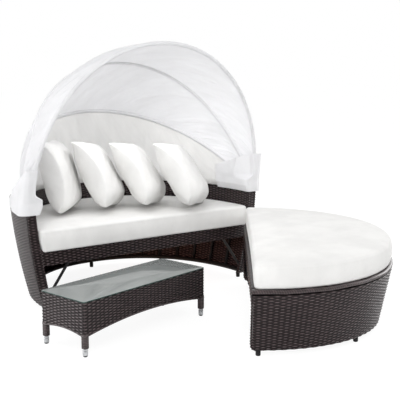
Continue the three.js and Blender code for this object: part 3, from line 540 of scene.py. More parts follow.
def apron_weave(name, oval):
    """The woven strip under the seat's straight front, turned in at its lower edge."""
    face, flange, bend = APRON_TOP - APRON_BOTTOM, 0.036, 0.006
    arc = bend * math.pi / 2
    height = face - bend + arc + flange - bend
    half = oval.half_width(APRON_BOTTOM) - WALL_THICKNESS - 0.001
    spread = oval.half_width(APRON_TOP) - WALL_THICKNESS - 0.001 - half

    def lay(u, v, lift):
        turn = np.clip((v - (flange - bend)) / bend, 0, math.pi / 2)
        y = np.where(v < flange - bend, flange - v, bend - (bend + lift) * np.sin(turn))
        z = APRON_BOTTOM + bend - (bend + lift) * np.cos(turn)
        z = z + np.clip(v - (flange - bend) - arc, 0, None)
        x = (u / (2 * half) * 2 - 1) * (half + spread * np.clip((z - APRON_BOTTOM) / face, 0, 1))
        return oval.place.at(x, y, z)

    return woven(name, 2 * half, height, lay, back=0.004, back_levels=14, seed=6)


def rim_border(name, oval):
    """The border wound over the rim: a flattened round section, 50 mm across and 24 mm deep, that
    swells over each strand, wanders a little in height and winds 3 strands forward in a turn."""
    s = sizes()
    pitch, slant, section_radius = 1.45 * s.strand_height, 1.5 / math.pi, 0.02
    swell = 0.0021 / 0.018
    length = oval.length()
    share = np.linspace(0, 1, int(length / pitch * s.wrap_steps))[:, None]
    turn = around_turn(20)[None, :] + 0.1
    across, up = np.cos(turn), np.sin(turn)
    half, deep = WALL_THICKNESS / 2, CAP_DEPTH / 2
    run = share * length
    grow = 1 + swell * np.abs(np.sin(math.pi * (run / pitch + slant * turn))) ** 0.6
    wave = 0.0012 * np.sin(run * 31) + 0.0007 * np.sin(run * 13 + 1)
    inset = half - (half - 0.0005) * np.sign(across) * np.abs(across) ** 0.75 * grow
    z = oval.rim_height - deep + (deep - 0.0012) * np.sign(up) * np.abs(up) ** 0.8 * grow + wave
    points = oval.point(oval.around(share, z), z, inset)
    turn = np.concatenate([turn, turn[:, :1] + 2 * math.pi], axis=1)
    return surface(name, points, turn * section_radius, (run / pitch + slant * turn) * s.strand_height,
                   wrap_columns=True, caps=True)


# Shaders

def maths(operation, flip=False):
    """A method of Wire that adds one Math node; flip puts the other value first."""
    def method(self, *others):
        values = [*others, self] if flip else [self, *others]
        return self.tree.node("ShaderNodeMath", {"operation": operation}, dict(enumerate(values)))
    return method


class Wire:
    """A shader socket that can be added to, multiplied and the like, each by one Math node."""

    def __init__(self, tree, socket):
        self.tree, self.socket = tree, socket

    __add__, __radd__ = maths("ADD"), maths("ADD", flip=True)
    __sub__, __rsub__ = maths("SUBTRACT"), maths("SUBTRACT", flip=True)
    __mul__, __rmul__ = maths("MULTIPLY"), maths("MULTIPLY", flip=True)
    __truediv__, __pow__, __abs__ = maths("DIVIDE"), maths("POWER"), maths("ABSOLUTE")
    floor, fract, sin, cos, most = maths("FLOOR"), maths("FRACT"), maths("SINE"), maths("COSINE"), maths("MAXIMUM")


class Finish:
    """One material, or the world, and the nodes in it."""

    def __init__(self, owner):
        owner.use_nodes = True
        self.owner, self.tree = owner, owner.node_tree
        self.tree.nodes.clear()

    def node(self, kind, settings=None, inputs=None, output=0):
        made = self.tree.nodes.new(kind)
        for key, value in (settings or {}).items():
            setattr(made, key, value)
        for key, value in (inputs or {}).items():
            socket = made.inputs[key]
            if isinstance(value, Wire):
                self.tree.links.new(value.socket, socket)
            elif hasattr(socket.default_value, "__len__") and len(socket.default_value) == 4 and len(value) == 3:
                socket.default_value = (*value, 1)
            else:
                socket.default_value = value
        return Wire(self, made.outputs[output])

    def coordinates(self, kind="Object"):
        return self.node("ShaderNodeTexCoord", output=kind)

    def rays(self, kind):
        return self.node("ShaderNodeLightPath", output=f"Is {kind} Ray")

    def split(self, vector):
        made = self.node("ShaderNodeSeparateXYZ", inputs={0: vector})
        return [Wire(self, out) for out in made.socket.node.outputs]

    def vector(self, x=0.0, y=0.0, z=0.0):
        return self.node("ShaderNodeCombineXYZ", inputs={0: x, 1: y, 2: z})

    def stretched(self, vector, x, y, z):
        """A vector times (x, y, z), channel by channel."""
        return self.node("ShaderNodeVectorMath", {"operation": "MULTIPLY"}, {0: vector, 1: (x, y, z)})

    def noise(self, vector, scale, detail=3.0, roughness=0.5):
        return self.node("ShaderNodeTexNoise", inputs={
            "Vector": vector, "Scale": scale, "Detail": detail, "Roughness": roughness})

    def random(self, vector):
        """A random number from 0 to 1 for each vector."""
        return self.node("ShaderNodeTexWhiteNoise", {"noise_dimensions": "3D"}, {"Vector": vector}, output="Value")

    def mix(self, factor, first, second):
        """The colour first (1 - factor) + second factor."""
        return self.node("ShaderNodeMix", {"data_type": "RGBA"}, {0: factor, 6: first, 7: second}, output=2)

    def clamp(self, value, low, high, to_low=0.0, to_high=1.0):
        """A smooth step from to_low, where the value is low, to to_high, where it is high."""
        return self.node("ShaderNodeMapRange", {"interpolation_type": "SMOOTHSTEP"},
                         {0: value, 1: low, 2: high, 3: to_low, 4: to_high})

    def bump(self, height, distance, strength=1.0, normal=None):
        inputs = {"Height": height, "Distance": distance, "Strength": strength}
        if normal is not None:
            inputs["Normal"] = normal
        return self.node("ShaderNodeBump", inputs=inputs)

    def principled(self, **inputs):
        return self.node("ShaderNodeBsdfPrincipled", inputs={k.replace("_", " "): v for k, v in inputs.items()})

    def out(self, shader, kind="ShaderNodeOutputMaterial"):
        self.tree.links.new(shader.socket, self.tree.nodes.new(kind).inputs[0])
        return self.owner


def shaded(tint, share):
    """A colour with each channel times a share, at most 1."""
    return tuple(min(1.0, share * channel) for channel in tint)


def strand_shader(f, crossing=True, flat=False):
    """Woven strands. Each has its own tone, fine streaks along it, painted shade at its edges for the gaps between
    strands, and a paler crest where it crosses over a stake, partly wear and partly painted highlight, with painted
    shade where it dips under. A wound strand has a painted highlight along its middle."""
    s, c = sizes(), colours()
    along, up, _ = f.split(f.coordinates("Object" if flat else "UV"))
    rows = up / s.strand_height
    row = rows.floor()
    edge = abs(rows.fract() * 2 - 1)
    stake = along / s.stake_spacing
    tone = f.random(f.vector(row, (stake * 0.25 + f.random(f.vector(row, 7.0, 0.0)) * 3).floor(), 0.0))
    streaks = f.noise(f.vector(along * 90, up * 1400, row), 1.0, 4.0, 0.6)
    clouds = f.noise(f.coordinates("Object"), 3.0, 3.0)
    pale = tone * 0.40 + streaks * 0.45 + clouds * 0.3 - 0.36
    roughness = 0.25 + streaks * 0.20 + edge * 0.12
    height = streaks * 0.3 + (1 - edge ** 6) * 0.5
    shine = 1 - edge ** 3
    if crossing:
        swing = (math.pi * (stake + row)).cos()
        crest = f.clamp(swing, 0.35, 1.0)
        dip = f.clamp(swing, 0.1, -0.9)
        # The crest is paler, partly wear and partly painted highlight, and the dip under the next stake gets painted
        # shade.
        pale = pale + crest * 0.62 - dip * 0.45
        shine = shine * (0.22 + crest * 0.90)
        if flat:
            height = height + swing * 1.5
    else:
        # A wound strand gets a painted highlight along its middle.
        pale = pale + (1 - edge ** 2) * 0.40
    colour = f.mix(f.clamp(pale, 0.0, 1.0), c.strand_dark, c.strand_light)
    # Painted shade in the gaps between strands: each strand darkens to near black at its edges.
    colour = f.mix(edge ** 3 * 0.85, colour, (0.004, 0.003, 0.003))
    return f.principled(Base_Color=colour, Roughness=roughness, Specular_IOR_Level=0.28,
                        Specular_Tint=(1.0, 0.87, 0.89, 1.0), Coat_Weight=shine, Coat_Roughness=0.22, Coat_IOR=1.62,
                        Normal=f.bump(height, 0.0009 if flat else 0.0004, 0.7))


def cloth_shader(f, tint, through=0.0, pulls=0.0):
    """Plain woven polyester: threads over and under at about 1 mm, slubs, faint clouding, painted shade in the
    hollows of the creases and painted highlight on their ridges, a soft sheen, and for the canopy some light through
    the cloth and slanting pulls across it, with painted shade in their hollows."""
    place = f.coordinates()
    x, y, z = ((way * (math.pi / THREAD)).sin() for way in f.split(place))
    threads = x * y + y * z + z * x
    slubs = f.noise(f.stretched(place, 60, 400, 60), 1.0, 3.0, 0.6)
    clouds = f.noise(place, 5.0, 3.0, 0.5)
    creases = f.noise(f.stretched(place, 9, 9, 5), 1.6, 4.0, 0.55)
    # Faint clouding is the cloth's own tone; the creases add painted shade in their hollows and painted highlight on
    # their ridges.
    colour = f.mix(f.clamp(clouds + creases * 0.4, 0.45, 0.95), shaded(tint, 0.93), shaded(tint, 1.03))
    colour = f.mix(f.clamp(slubs, 0.55, 0.8, 0.0, 0.5), colour, shaded(tint, 0.9))
    bump = f.bump(threads * 0.25 + slubs * 0.8, 0.0006, 0.5)
    bump = f.bump(creases, 0.006, 0.35, bump)
    if pulls:
        u, v, _ = f.split(f.coordinates("UV"))
        pulled = f.noise(f.vector((u * 0.9 + v) * 15, (u - v) * 2.2, 0.0), 1.0, 3.0, 0.5)
        bump = f.bump(pulled, 0.018, pulls, bump)
        # Painted shade: the cloth darkens in the hollows of the pulls.
        colour = f.mix(f.clamp(pulled, 0.62, 0.40, 0.0, 0.5), colour, shaded(tint, 0.88))
    body = f.principled(Base_Color=colour, Roughness=0.84 + slubs * 0.12, Specular_IOR_Level=0.25,
                        Sheen_Weight=0.15, Sheen_Roughness=0.5, Normal=bump)
    if not through:
        return body
    light = f.node("ShaderNodeBsdfTranslucent", inputs={"Color": (0.97, 0.97, 0.975), "Normal": bump})
    return f.node("ShaderNodeMixShader", inputs={0: through, 1: body, 2: light})


def paint_shader(f):
    """Black powder paint on steel tube: a fine orange-peel skin, rubbed a little on the high spots."""
    c = colours()
    place = f.coordinates()
    peel = f.noise(place, 420.0, 2.0)
    rubbed = f.clamp(f.noise(place, 9.0, 6.0, 0.7), 0.62, 0.78)
    colour = f.mix(rubbed * 0.5, c.frame_paint, (0.05, 0.048, 0.046))
    return f.principled(Base_Color=colour, Roughness=0.34 + rubbed * 0.2 + peel * 0.1,
                        Specular_IOR_Level=0.5, Normal=f.bump(peel, 0.0004, 0.5))


def aluminium_shader(f):
    """Drawn aluminium tube with a pale satin coat and fine lines."""
    place = f.coordinates()
    lines = f.noise(f.stretched(place, 30, 700, 700), 1.0, 3.0)
    colour = f.mix(lines, (0.55, 0.55, 0.57), (0.72, 0.72, 0.75))
    return f.principled(Base_Color=colour, Metallic=0.7, Roughness=0.3 + lines * 0.2,
                        Normal=f.bump(lines, 0.0002, 0.4))


def silver_shader(f):
    """Brushed silver ferrule, with a dark rubber tip on the ground and rings turned into it, with painted shade in
    the turned groove.
    """
    place = f.coordinates()
    _, _, z = f.split(place)
    tip = f.clamp(z, 0.0085, 0.0065)
    scratches = f.noise(f.stretched(place, 200, 200, 1500), 1.0, 3.0)
    ring = f.clamp(abs(z - 0.031), 0.0012, 0.0004)
    colour = f.mix(scratches, (0.62, 0.64, 0.66), (0.86, 0.87, 0.88))
    # Painted shade: the turned groove at 31 mm is painted dark.
    colour = f.mix(ring * 0.6, colour, (0.2, 0.2, 0.21))
    colour = f.mix(tip, colour, (0.03, 0.03, 0.035))
    return f.principled(Base_Color=colour, Metallic=0.85 - tip * 0.85, Roughness=0.24 + scratches * 0.15 + tip * 0.4,
                        Normal=f.bump(scratches - ring * 2, 0.0003, 0.5))


def plastic_shader(f):
    """Black plastic glide, scuffed grey where it meets the ground."""
    place = f.coordinates()
    _, _, z = f.split(place)
    scuff = f.clamp(z, 0.006, 0.0) * f.noise(place, 160.0, 4.0, 0.7)
    colour = f.mix(scuff, (0.012, 0.012, 0.012), (0.09, 0.085, 0.08))
    grain = f.noise(place, 900.0, 2.0)
    return f.principled(Base_Color=colour, Roughness=0.5 + scuff * 0.3 + grain * 0.08,
                        Normal=f.bump(grain, 0.0002, 0.4))


def glass_shader(f):
    """Tempered glass with a greenish body, almost opaque at a low view, with faint wiping marks and
    a deep green edge."""
    c = colours()
    place = f.coordinates()
    wipes = f.noise(f.stretched(place, 3, 14, 3), 1.0, 5.0, 0.6)
    smears = f.clamp(wipes, 0.5, 0.75)
    _, _, z = f.split(place)
    colour = f.mix(smears * 0.3, c.glass, shaded(c.glass, 1.2))
    colour = f.mix(f.clamp(z, TABLE_HEIGHT - 0.0007, TABLE_HEIGHT - 0.0016), colour, (0.015, 0.060, 0.048))
    return f.principled(Base_Color=colour, Roughness=0.05 + smears * 0.06, IOR=1.5, Alpha=0.86,
                        Specular_IOR_Level=0.6, Normal=f.bump(wipes, 0.0004, 0.05))


# Each finish's slot and shader
FINISHES = {
    "woven strand": ("woven_strand", strand_shader),
    "wound strand": ("woven_strand", lambda f: strand_shader(f, crossing=False)),
    "deck weave": ("woven_strand", lambda f: strand_shader(f, flat=True)),
    "cushion cloth": ("cushion_cloth", lambda f: cloth_shader(f, colours().cloth)),
    "canopy cloth": ("canopy_cloth", lambda f: cloth_shader(f, colours().canopy, through=0.58, pulls=0.9)),
    "sewn canopy cloth": ("canopy_cloth", lambda f: cloth_shader(f, colours().canopy, through=0.10)),
    "sleeve cloth": ("canopy_cloth", lambda f: cloth_shader(f, shaded(colours().canopy, 0.94), through=0.10)),
    # The rear panel: the canopy cloth painted paler and warmer, as painted bounce light.
    "rear canopy cloth": ("canopy_cloth", lambda f: cloth_shader(f, REAR_CLOTH_WITH_PAINTED_BOUNCE, through=0.52, pulls=0.45)),
    "black frame paint": ("black_frame", paint_shader),
    "hoop aluminium": ("hoop_tube", aluminium_shader),
    "bolt steel": ("bolt_steel", silver_shader),
    "silver cap": ("silver_cap", silver_shader),
    "foot plastic": ("foot_plastic", plastic_shader),
    "table glass": ("glass", glass_shader),
}


MATERIALS = {}


def finish_material(name):
    """The material of a finish, made the first time it is asked for."""
    if name not in MATERIALS:
        f = Finish(bpy.data.materials.new(name))
        MATERIALS[name] = f.out(FINISHES[name][1](f))
    return MATERIALS[name]


# Operators

class DAYBED_OT_walls(bpy.types.Operator):
    """Weave the walls, ends, aprons and borders of the sofa and the ottoman"""

    bl_idname = "daybed.walls"
    bl_label = "Woven Walls"
    bl_options = {"REGISTER", "UNDO"}

    def execute(self, context):
        for key, oval, under_top in (("sofa", SOFA, DECK_UNDERSIDE), ("ottoman", OTTOMAN, OTTOMAN.skin_top)):
            finish(wall_weave(f"{key}_weave_outside", oval, WALL_BASE, oval.skin_top, 0.0, lifts=-1),
                   "woven strand", f"{key}_outer_weave")
            finish(wall_weave(f"{key}_weave_under", oval, WALL_BASE + 0.0005, under_top, SKIN - 0.0006,
                              start_y=0.012, seed=4), "woven strand", f"{key}_outer_weave")
            finish(rim_border(f"{key}_rim_border", oval), "wound strand", f"{key}_rim_cap")
            finish(apron_weave(f"{key}_front_strip", oval), "woven strand", f"{key}_apron")
            for name, side in SIDES:
                finish(end_weave(f"{key}_front_end_{name}", oval, side), "woven strand", f"{key}_end_face_{name}")
            dress(f"{key}_deck", "deck weave")
        finish(wall_weave("sofa_weave_inside", SOFA, DECK_UNDERSIDE, SOFA.skin_top, WALL_THICKNESS - 0.0012, seed=5),
               "woven strand", "sofa_inner_weave")
        return {"FINISHED"}


def bent_rail(name, oval, z, inset, start_y):
    """A rail at one height along the half oval, moved in by inset, between its two front ends."""
    angle = oval.share_angle(np.linspace(0, 1, 121), start_y, z)
    return tube(name, oval.point(angle, z, inset), RAIL_RADIUS, sides=14)


def upright(name, oval, share, inset, radius, low, high):
    """A tube up the wall, a share of the way round, that follows the wall's slope and bow."""
    z = np.linspace(low, high, 9)
    path = oval.point(oval.share_angle(share, inset, z), z, inset)
    return tube(name, path, radius, side=(1, 0.1, 0), sides=12)


def wall_frame(key, oval, count):
    """Two bent rails, and uprights between them that follow the wall's slope and bow."""
    high = oval.skin_top - RAIL_RADIUS
    heights = (high, BASE_RAIL_HEIGHT)
    parts = [bent_rail(f"rail_{k}", oval, z, RAIL_INSET, RAIL_INSET) for k, z in enumerate(heights)]
    for k in range(count):
        last = k in (0, count - 1)
        parts.append(upright(f"upright_{k}", oval, k / (count - 1), RAIL_INSET + 0.0015 * last,
                             RAIL_RADIUS if last else UPRIGHT_RADIUS, BASE_RAIL_HEIGHT, high))
    return joined(f"{key}_wall_tubes", parts)


def seat_frame(key, oval, inset, front_half, cross_places):
    """A bent seat rail, a straight front rail and cross rails from front to back."""
    z = SEAT_RAIL_HEIGHT
    parts = [bent_rail("bent", oval, z, inset, RAIL_INSET + RAIL_RADIUS - 0.0015)]
    ends = oval.place.at(np.array([-front_half, front_half]), RAIL_INSET, z)
    parts.append(straight("front", *ends, RAIL_RADIUS))
    for x in cross_places:
        angle = np.arccos((abs(x) / oval.half_width(z)) ** (PLAN_EXPONENT / 2))
        back = oval.plan(np.array(angle), z, inset)[1]
        ends = oval.place.at(x, np.array([RAIL_INSET, float(back)]), z)
        parts.append(straight(f"cross_{x}", *ends, UPRIGHT_RADIUS, sides=12))
    return joined(f"{key}_seat_tubes", parts)


class DAYBED_OT_frames(bpy.types.Operator):
    """Make the welded tube frames and struts, and paint the hinge brackets"""

    bl_idname = "daybed.frames"
    bl_label = "Tube Frames"
    bl_options = {"REGISTER", "UNDO"}

    def execute(self, context):
        paint = "black frame paint"
        for key, oval, count in (("sofa", SOFA, 19), ("ottoman", OTTOMAN, 15)):
            finish(wall_frame(key, oval, count), paint, f"{key}_wall_frame")
        post = SOFA.half_width(SEAT_RAIL_HEIGHT - RAIL_RADIUS) - RAIL_INSET - RAIL_RADIUS - 0.003
        finish(seat_frame("sofa", SOFA, 0.043, post, (-0.330, 0.0, 0.330)), paint, "sofa_seat_frame")
        inset = 0.064
        finish(seat_frame("ottoman", OTTOMAN, inset, OTTOMAN.half_width(SEAT_RAIL_HEIGHT) - inset, (0.0,)),
               paint, "ottoman_seat_frame")
        low = 0.062
        foot = SOFA.half_width(low) - RAIL_INSET - 0.0015
        for name, side in SIDES:
            ends = SOFA_PLACE.at(side * np.array([0.475, foot]), RAIL_INSET, np.array([SEAT_RAIL_HEIGHT, low]))
            strut = straight(f"sofa_strut_{name}", *ends, UPRIGHT_RADIUS, side=(0, 1, 0))
            finish(strut, paint, f"sofa_brace_{name}")
            dress(f"hinge_bracket_{name}", paint)
            dress(f"hinge_bolt_{name}", "bolt steel")
        return {"FINISHED"}


# The plastic glide under a wall frame, as (radius, height) pairs, and its places round the wall
GLIDE_HEIGHT = 0.0303
GLIDE = (
    (0, 0), (0.0092, 0), (0.0104, 0.0006), (0.0116, 0.0030), (0.0120, 0.0046), (0.0120, 0.0240), (0.0117, 0.0250),
    (0.0117, 0.0262), (0.0120, 0.0270), (0.0120, GLIDE_HEIGHT), (0, GLIDE_HEIGHT),
)
GLIDE_SHARES = (0, 0.27, 0.5, 0.73, 1)


class DAYBED_OT_feet(bpy.types.Operator):
    """Turn the plastic glides under the sofa and the ottoman"""

    bl_idname = "daybed.feet"
    bl_label = "Feet"
    bl_options = {"REGISTER", "UNDO"}

    def execute(self, context):
        for key, oval in (("sofa", SOFA), ("ottoman", OTTOMAN)):
            for k, share in enumerate(GLIDE_SHARES, 1):
                angle = oval.share_angle(share, CORNER_RADIUS + 0.012, BASE_RAIL_HEIGHT)
                x, y, _ = oval.point(angle, BASE_RAIL_HEIGHT, RAIL_INSET + RAIL_RADIUS / 2)
                finish(turned(f"{key}_glide_{k}", GLIDE, x, y), "foot plastic", f"{key}_foot_{k}")
        return {"FINISHED"}


def rounded_rectangle(length, width, radius, s):
    """The point and outward normal a distance s round a rectangle with rounded corners, from the
    middle of its front side. The straights and quarter circles follow each other by length."""
    a, b, q = length / 2 - radius, width / 2 - radius, radius * math.pi / 2
    stops = np.cumsum([0, a, q, 2 * b, q, 2 * a, q, 2 * b, q, a])
    s = np.mod(s, stops[-1] + 1e-12)
    leg = np.clip(np.searchsorted(stops, s, side="right") - 1, 0, 8)
    into = s - stops[leg]
    centres = np.array([[0, -b], [a, -b], [a, -b], [a, b], [a, b], [-a, b], [-a, b], [-a, -b], [-a, -b]])
    starts = np.radians([-90, -90, 0, 0, 90, 90, 180, 180, 270])
    curved = leg % 2 == 1
    turn = starts[leg] + np.where(curved, into / radius, 0)
    nx, ny = np.cos(turn), np.sin(turn)
    x = centres[leg, 0] - np.where(curved, 0, ny * into) + radius * nx
    y = centres[leg, 1] + np.where(curved, 0, nx * into) + radius * ny
    return x, y, nx, ny


def perimeter(length, width, radius):
    """The length round that rectangle, 2 (l + w) - 8 r + 2 pi r."""
    return 2 * (length + width) - 8 * radius + 2 * math.pi * radius


def skirt_foot(x, y, nx, ny):
    """The height of the skirt's lower edge, which arches up on each side between the legs by
    h (1 - (d / half)^2), d the distance from the side's middle."""
    leg = 0.028
    long_side = 0.034 * np.clip(1 - (x / (TABLE_LENGTH / 2 - leg)) ** 2, 0, 1) * (np.abs(ny) > 0.99)
    short_side = 0.014 * np.clip(1 - (y / (TABLE_WIDTH / 2 - leg)) ** 2, 0, 1) * (np.abs(nx) > 0.99)
    return SKIRT_LOW + long_side + short_side


def pane_points():
    """The glass pane: rings of its outline, drawn in by quarter circles at both edges, between the
    middle of its underside and of its top."""
    edge, half = sizes().glass_edge, GLASS_THICKNESS / 2
    turn = np.radians([-90, -60, -30, 0, 0, 30, 60, 90])
    rise = np.repeat([edge - half, half - edge], 4) + edge * np.sin(turn)
    draw = edge * (1 - np.cos(turn))
    run = np.linspace(0, perimeter(TABLE_LENGTH, TABLE_WIDTH, GLASS_CORNER), 260, endpoint=False)[:, None]
    x, y, nx, ny = rounded_rectangle(TABLE_LENGTH, TABLE_WIDTH, GLASS_CORNER, run)
    rings = TABLE_PLACE.at(x - draw * nx, y - draw * ny, TABLE_HEIGHT - half + rise[None, :])
    hubs = rings[:, [0, -1]] * [0, 0, 1] + TABLE_PLACE.origin * [1, 1, 0]
    return np.concatenate([hubs[:, :1], rings, hubs[:, 1:]], axis=1)


SKIRT_OUTLINE = (TABLE_LENGTH - 0.003, TABLE_WIDTH - 0.003, 0.006)
SKIRT_TOP = TABLE_HEIGHT - GLASS_THICKNESS - 0.0012

# The ferrule on a table leg, as (radius, height) pairs
FERRULE = (
    (0, 0), (0.0080, 0), (0.0092, 0.0008), (0.0117, 0.0062), (0.0122, 0.0076), (0.0125, 0.0090), (0.0125, 0.0300),
    (0.0121, 0.0306), (0.0121, 0.0316), (0.0125, 0.0322), (0.0125, 0.0390), (0.0119, 0.0396), (0, 0.0396),
)


def woven_skirt():
    """The weave round the table, from the skirt's arched foot up to the glass."""
    def lay(u, v, lift):
        x, y, nx, ny = rounded_rectangle(*SKIRT_OUTLINE, u)
        foot = skirt_foot(x, y, nx, ny)
        z = foot + (SKIRT_TOP - foot) * v / (SKIRT_TOP - SKIRT_LOW)
        return TABLE_PLACE.at(x + (lift - 0.001) * nx, y + (lift - 0.001) * ny, z)

    return woven("table_woven_skirt", perimeter(*SKIRT_OUTLINE), SKIRT_TOP - SKIRT_LOW, lay, wrap=True, back=0.0022,
                 back_levels=3, seed=9)


def skirt_edge():
    """The strand wound along the skirt's lower edge."""
    x, y, nx, ny = rounded_rectangle(*SKIRT_OUTLINE, np.linspace(0, 1, 1200) * perimeter(*SKIRT_OUTLINE))
    path = TABLE_PLACE.at(x - 0.0005 * nx, y - 0.0005 * ny, skirt_foot(x, y, nx, ny) + 0.001)
    turn, radius = around_turn(10), 0.0034
    ring = radius * np.stack([np.cos(turn), np.sin(turn)], axis=1)
    return wound("table_lower_edge", path, ring, pitch=0.007, relief=0.0006, slant=1.0)


def leg_sleeve(name, x, y):
    """The strand wound round one leg, whose section is a square with rounded corners."""
    high = SKIRT_LOW + 0.012
    count = int((high - SLEEVE_LOW) / sizes().strand_height * sizes().wrap_steps)
    path = np.stack([np.full(count, x), np.full(count, y), np.linspace(SLEEVE_LOW, high, count)], axis=1)
    section = (SLEEVE_SIZE, SLEEVE_SIZE, SLEEVE_CORNER)
    around = np.linspace(0, perimeter(*section), 28, endpoint=False)
    square = np.stack(rounded_rectangle(*section, around)[:2], axis=1)
    along = (math.sin(TABLE_PLACE.turn), -math.cos(TABLE_PLACE.turn), 0)
    return wound(name, path, square, sizes().strand_height, relief=0.0007, side=along)


class DAYBED_OT_table(bpy.types.Operator):
    """Weave the table's skirt and leg sleeves, turn its caps and lay its glass"""

    bl_idname = "daybed.table"
    bl_label = "Glass Table"
    bl_options = {"REGISTER", "UNDO"}

    def execute(self, context):
        dress("table_frame", "black frame paint")
        finish(woven_skirt(), "woven strand", "table_skirt")
        parts = [skirt_edge()]
        for k, (across, along) in enumerate(((-1, -1), (1, -1), (-1, 1), (1, 1))):
            x, y, _ = TABLE_PLACE.at(across * LEG_PLACE[0], along * LEG_PLACE[1], 0.0)
            parts.append(leg_sleeve(f"sleeve_{k}", x, y))
            finish(turned(f"table_ferrule_{k + 1}", FERRULE, x, y), "silver cap", f"table_cap_{k + 1}")
        finish(joined("table_leg_wrapping", parts), "wound strand", "table_skirt")
        finish(surface("table_pane", pane_points(), wrap_rows=True, weld=True), "table glass", "table_glass")
        return {"FINISHED"}


def on_hoop(half, radius, lean, angle):
    """A hoop is half a superellipse, whose reach leans from upright about the pivots."""
    x, reach = superellipse(angle, half, radius, HOOP_EXPONENT)
    return np.stack(np.broadcast_arrays(x, -reach * np.sin(lean), reach * np.cos(lean)), axis=-1) + PIVOT


def cloth_angle(hoop, share):
    """The angle a share of the way along a hoop's cloth, which starts 120 mm out from each pivot."""
    start = math.asin((CLOTH_START / hoop[1]) ** (HOOP_EXPONENT / 2))
    return start + (math.pi - 2 * start) * share


def tube_reach(hoop, angle):
    """The angle at the pivots that a hoop's tube takes up on one side, asin(r / reach)."""
    return np.arcsin(TUBE_IN_SLEEVE / (hoop[1] * np.sin(angle) ** (2 / HOOP_EXPONENT)))


def cloth_piece(name, points, made, node, thickness=None):
    """A sheet of cloth from a grid of points, with its thickness laid on by Solidify."""
    along = np.concatenate([[0], np.cumsum(np.linalg.norm(np.diff(points, axis=0), axis=-1).mean(axis=1))])
    down = np.concatenate([[0], np.cumsum(np.linalg.norm(np.diff(points, axis=1), axis=-1).mean(axis=0))])
    obj = surface(name, points, along[:, None], down[None, :], closed=False)
    obj.data.materials.append(finish_material(made))
    shell = obj.modifiers.new("thickness", "SOLIDIFY")
    shell.thickness, shell.offset = thickness or sizes().cloth_thickness, 0
    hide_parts(node)
    return obj


def canopy_panel(back, front, waves, seed):
    """Cloth between two hoops: half width, reach and lean go evenly from one to the other. The
    reach drops by m sin t (sag + folds), with m = 4 d (1 - d), and low at both sides the cloth
    bulges outwards by m^1.5 |cos t|^6."""
    share, down = grid_shares(260, 44)
    angle = cloth_angle(back, share)
    lean_back = back[2] + tube_reach(back, angle)
    lean_front = front[2] - tube_reach(front, angle)
    lean = lean_back + (lean_front - lean_back) * down
    middle = 4 * down * (1 - down)
    folds = sizes().canopy_folds * ripples(share, down, waves, seed) * middle ** 0.6
    drop = np.sin(angle) * (middle * CANOPY_SAG + folds)
    half = back[0] + (front[0] - back[0]) * down + SIDE_BULGE * middle ** 1.5 * np.abs(np.cos(angle)) ** 6
    radius = back[1] + (front[1] - back[1]) * down - drop
    return on_hoop(half, radius, lean, angle)


def rear_panel(hoop):
    """Cloth from the rear hoop to the rim, which runs down inside the wall to a hem and hangs in
    soft folds. Folds and scallops move it inwards, the folds by sin t and the scallops by d^3."""
    share, down = grid_shares(300, 40)
    angle = cloth_angle(hoop, share)
    top = on_hoop(*hoop[:2], hoop[2] - tube_reach(hoop, angle), angle)
    sag, fold, scallop, ruffle, gap = 0.012, 0.0085, 0.007, 0.004, 0.005
    rim, hem = (SOFA.point(angle, SOFA.rim_height + rise, WALL_THICKNESS + gap) for rise in (gap, -0.030))
    middle = 4 * down * (1 - down)
    inward = np.stack([-np.cos(angle), -np.sin(angle), 0 * angle], axis=-1)
    folds = ripples(share, down, ((9, 0.2, 0.6), (17, -0.5, 0.4), (31, 0.8, 0.2)), 21)
    folds = folds * (0.15 + 0.85 * middle ** 0.7) * np.clip(down * 6, 0, 1)
    scallops = np.abs(ripples(share, down, ((19, 0.6, 0.7), (37, -0.8, 0.3)), 77))
    lift = (sag * middle + fold * folds) * np.sin(angle) + scallop * scallops * down ** 3
    body = top + (rim - top) * down[..., None] + inward * lift[..., None]
    lower = np.linspace(0, 1, 9)[None, 1:]
    ruffles = ruffle * np.maximum(ripples(share, lower, ((41, 0.3, 0.6), (67, 0, 0.4)), 5), 0) * lower
    tail = body[:, -1:] + (hem - rim) * lower[..., None] + inward * ruffles[..., None]
    return np.concatenate([body, tail], axis=1)


def hoop_sleeve(key, hoop):
    """The puckered cloth sleeve sewn round a hoop, from just below where its cloth starts."""
    start = cloth_angle(hoop, 0) * 0.97
    angle = np.linspace(start, math.pi - start, 360)
    side = (0, -math.cos(hoop[2]), -math.sin(hoop[2]))
    pucker = 1 + 0.05 * ripples(np.linspace(0, 1, len(angle))[:, None], around_turn(16)[None, :] / 6.28,
                                ((60, 1, 0.5), (97, -1, 0.5)), 31)
    return tube(f"canopy_sleeve_{key}", on_hoop(*hoop, angle), sizes().sleeve_radius * pucker, side=side)


class DAYBED_OT_canopy(bpy.types.Operator):
    """Stretch the canopy cloth over its three hoops, with a sewn sleeve on each hoop"""

    bl_idname = "daybed.canopy"
    bl_label = "Folding Canopy"
    bl_options = {"REGISTER", "UNDO"}

    def execute(self, context):
        for key, behind, waves, seed, reach in (
            ("front", "middle", ((7, 0.6, 0.6), (13, 1.3, 0.35), (23, 2.1, 0.2)), 11, 0.14),
            ("middle", "rear", ((5, 0.5, 0.6), (11, 0.9, 0.3), (19, 0.4, 0.15)), 12, 0.115),
        ):
            back, front = HOOPS[behind], HOOPS[key]
            panel = cloth_piece(f"canopy_cloth_{key}", canopy_panel(back, front, waves, seed), "canopy cloth",
                                f"canopy_panel_{key}")
            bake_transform(panel)
        rear = HOOPS["rear"]
        panel = cloth_piece("canopy_cloth_rear", rear_panel(rear), "rear canopy cloth", "canopy_panel_rear")
        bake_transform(panel)
        for key, hoop in HOOPS.items():
            dress(f"canopy_hoop_{key}", "hoop aluminium")
            sleeve = hoop_sleeve(key, hoop)
            sleeve.data.materials.append(finish_material("sleeve cloth"))
            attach(sleeve, f"{key}_hoop")
        return {"FINISHED"}


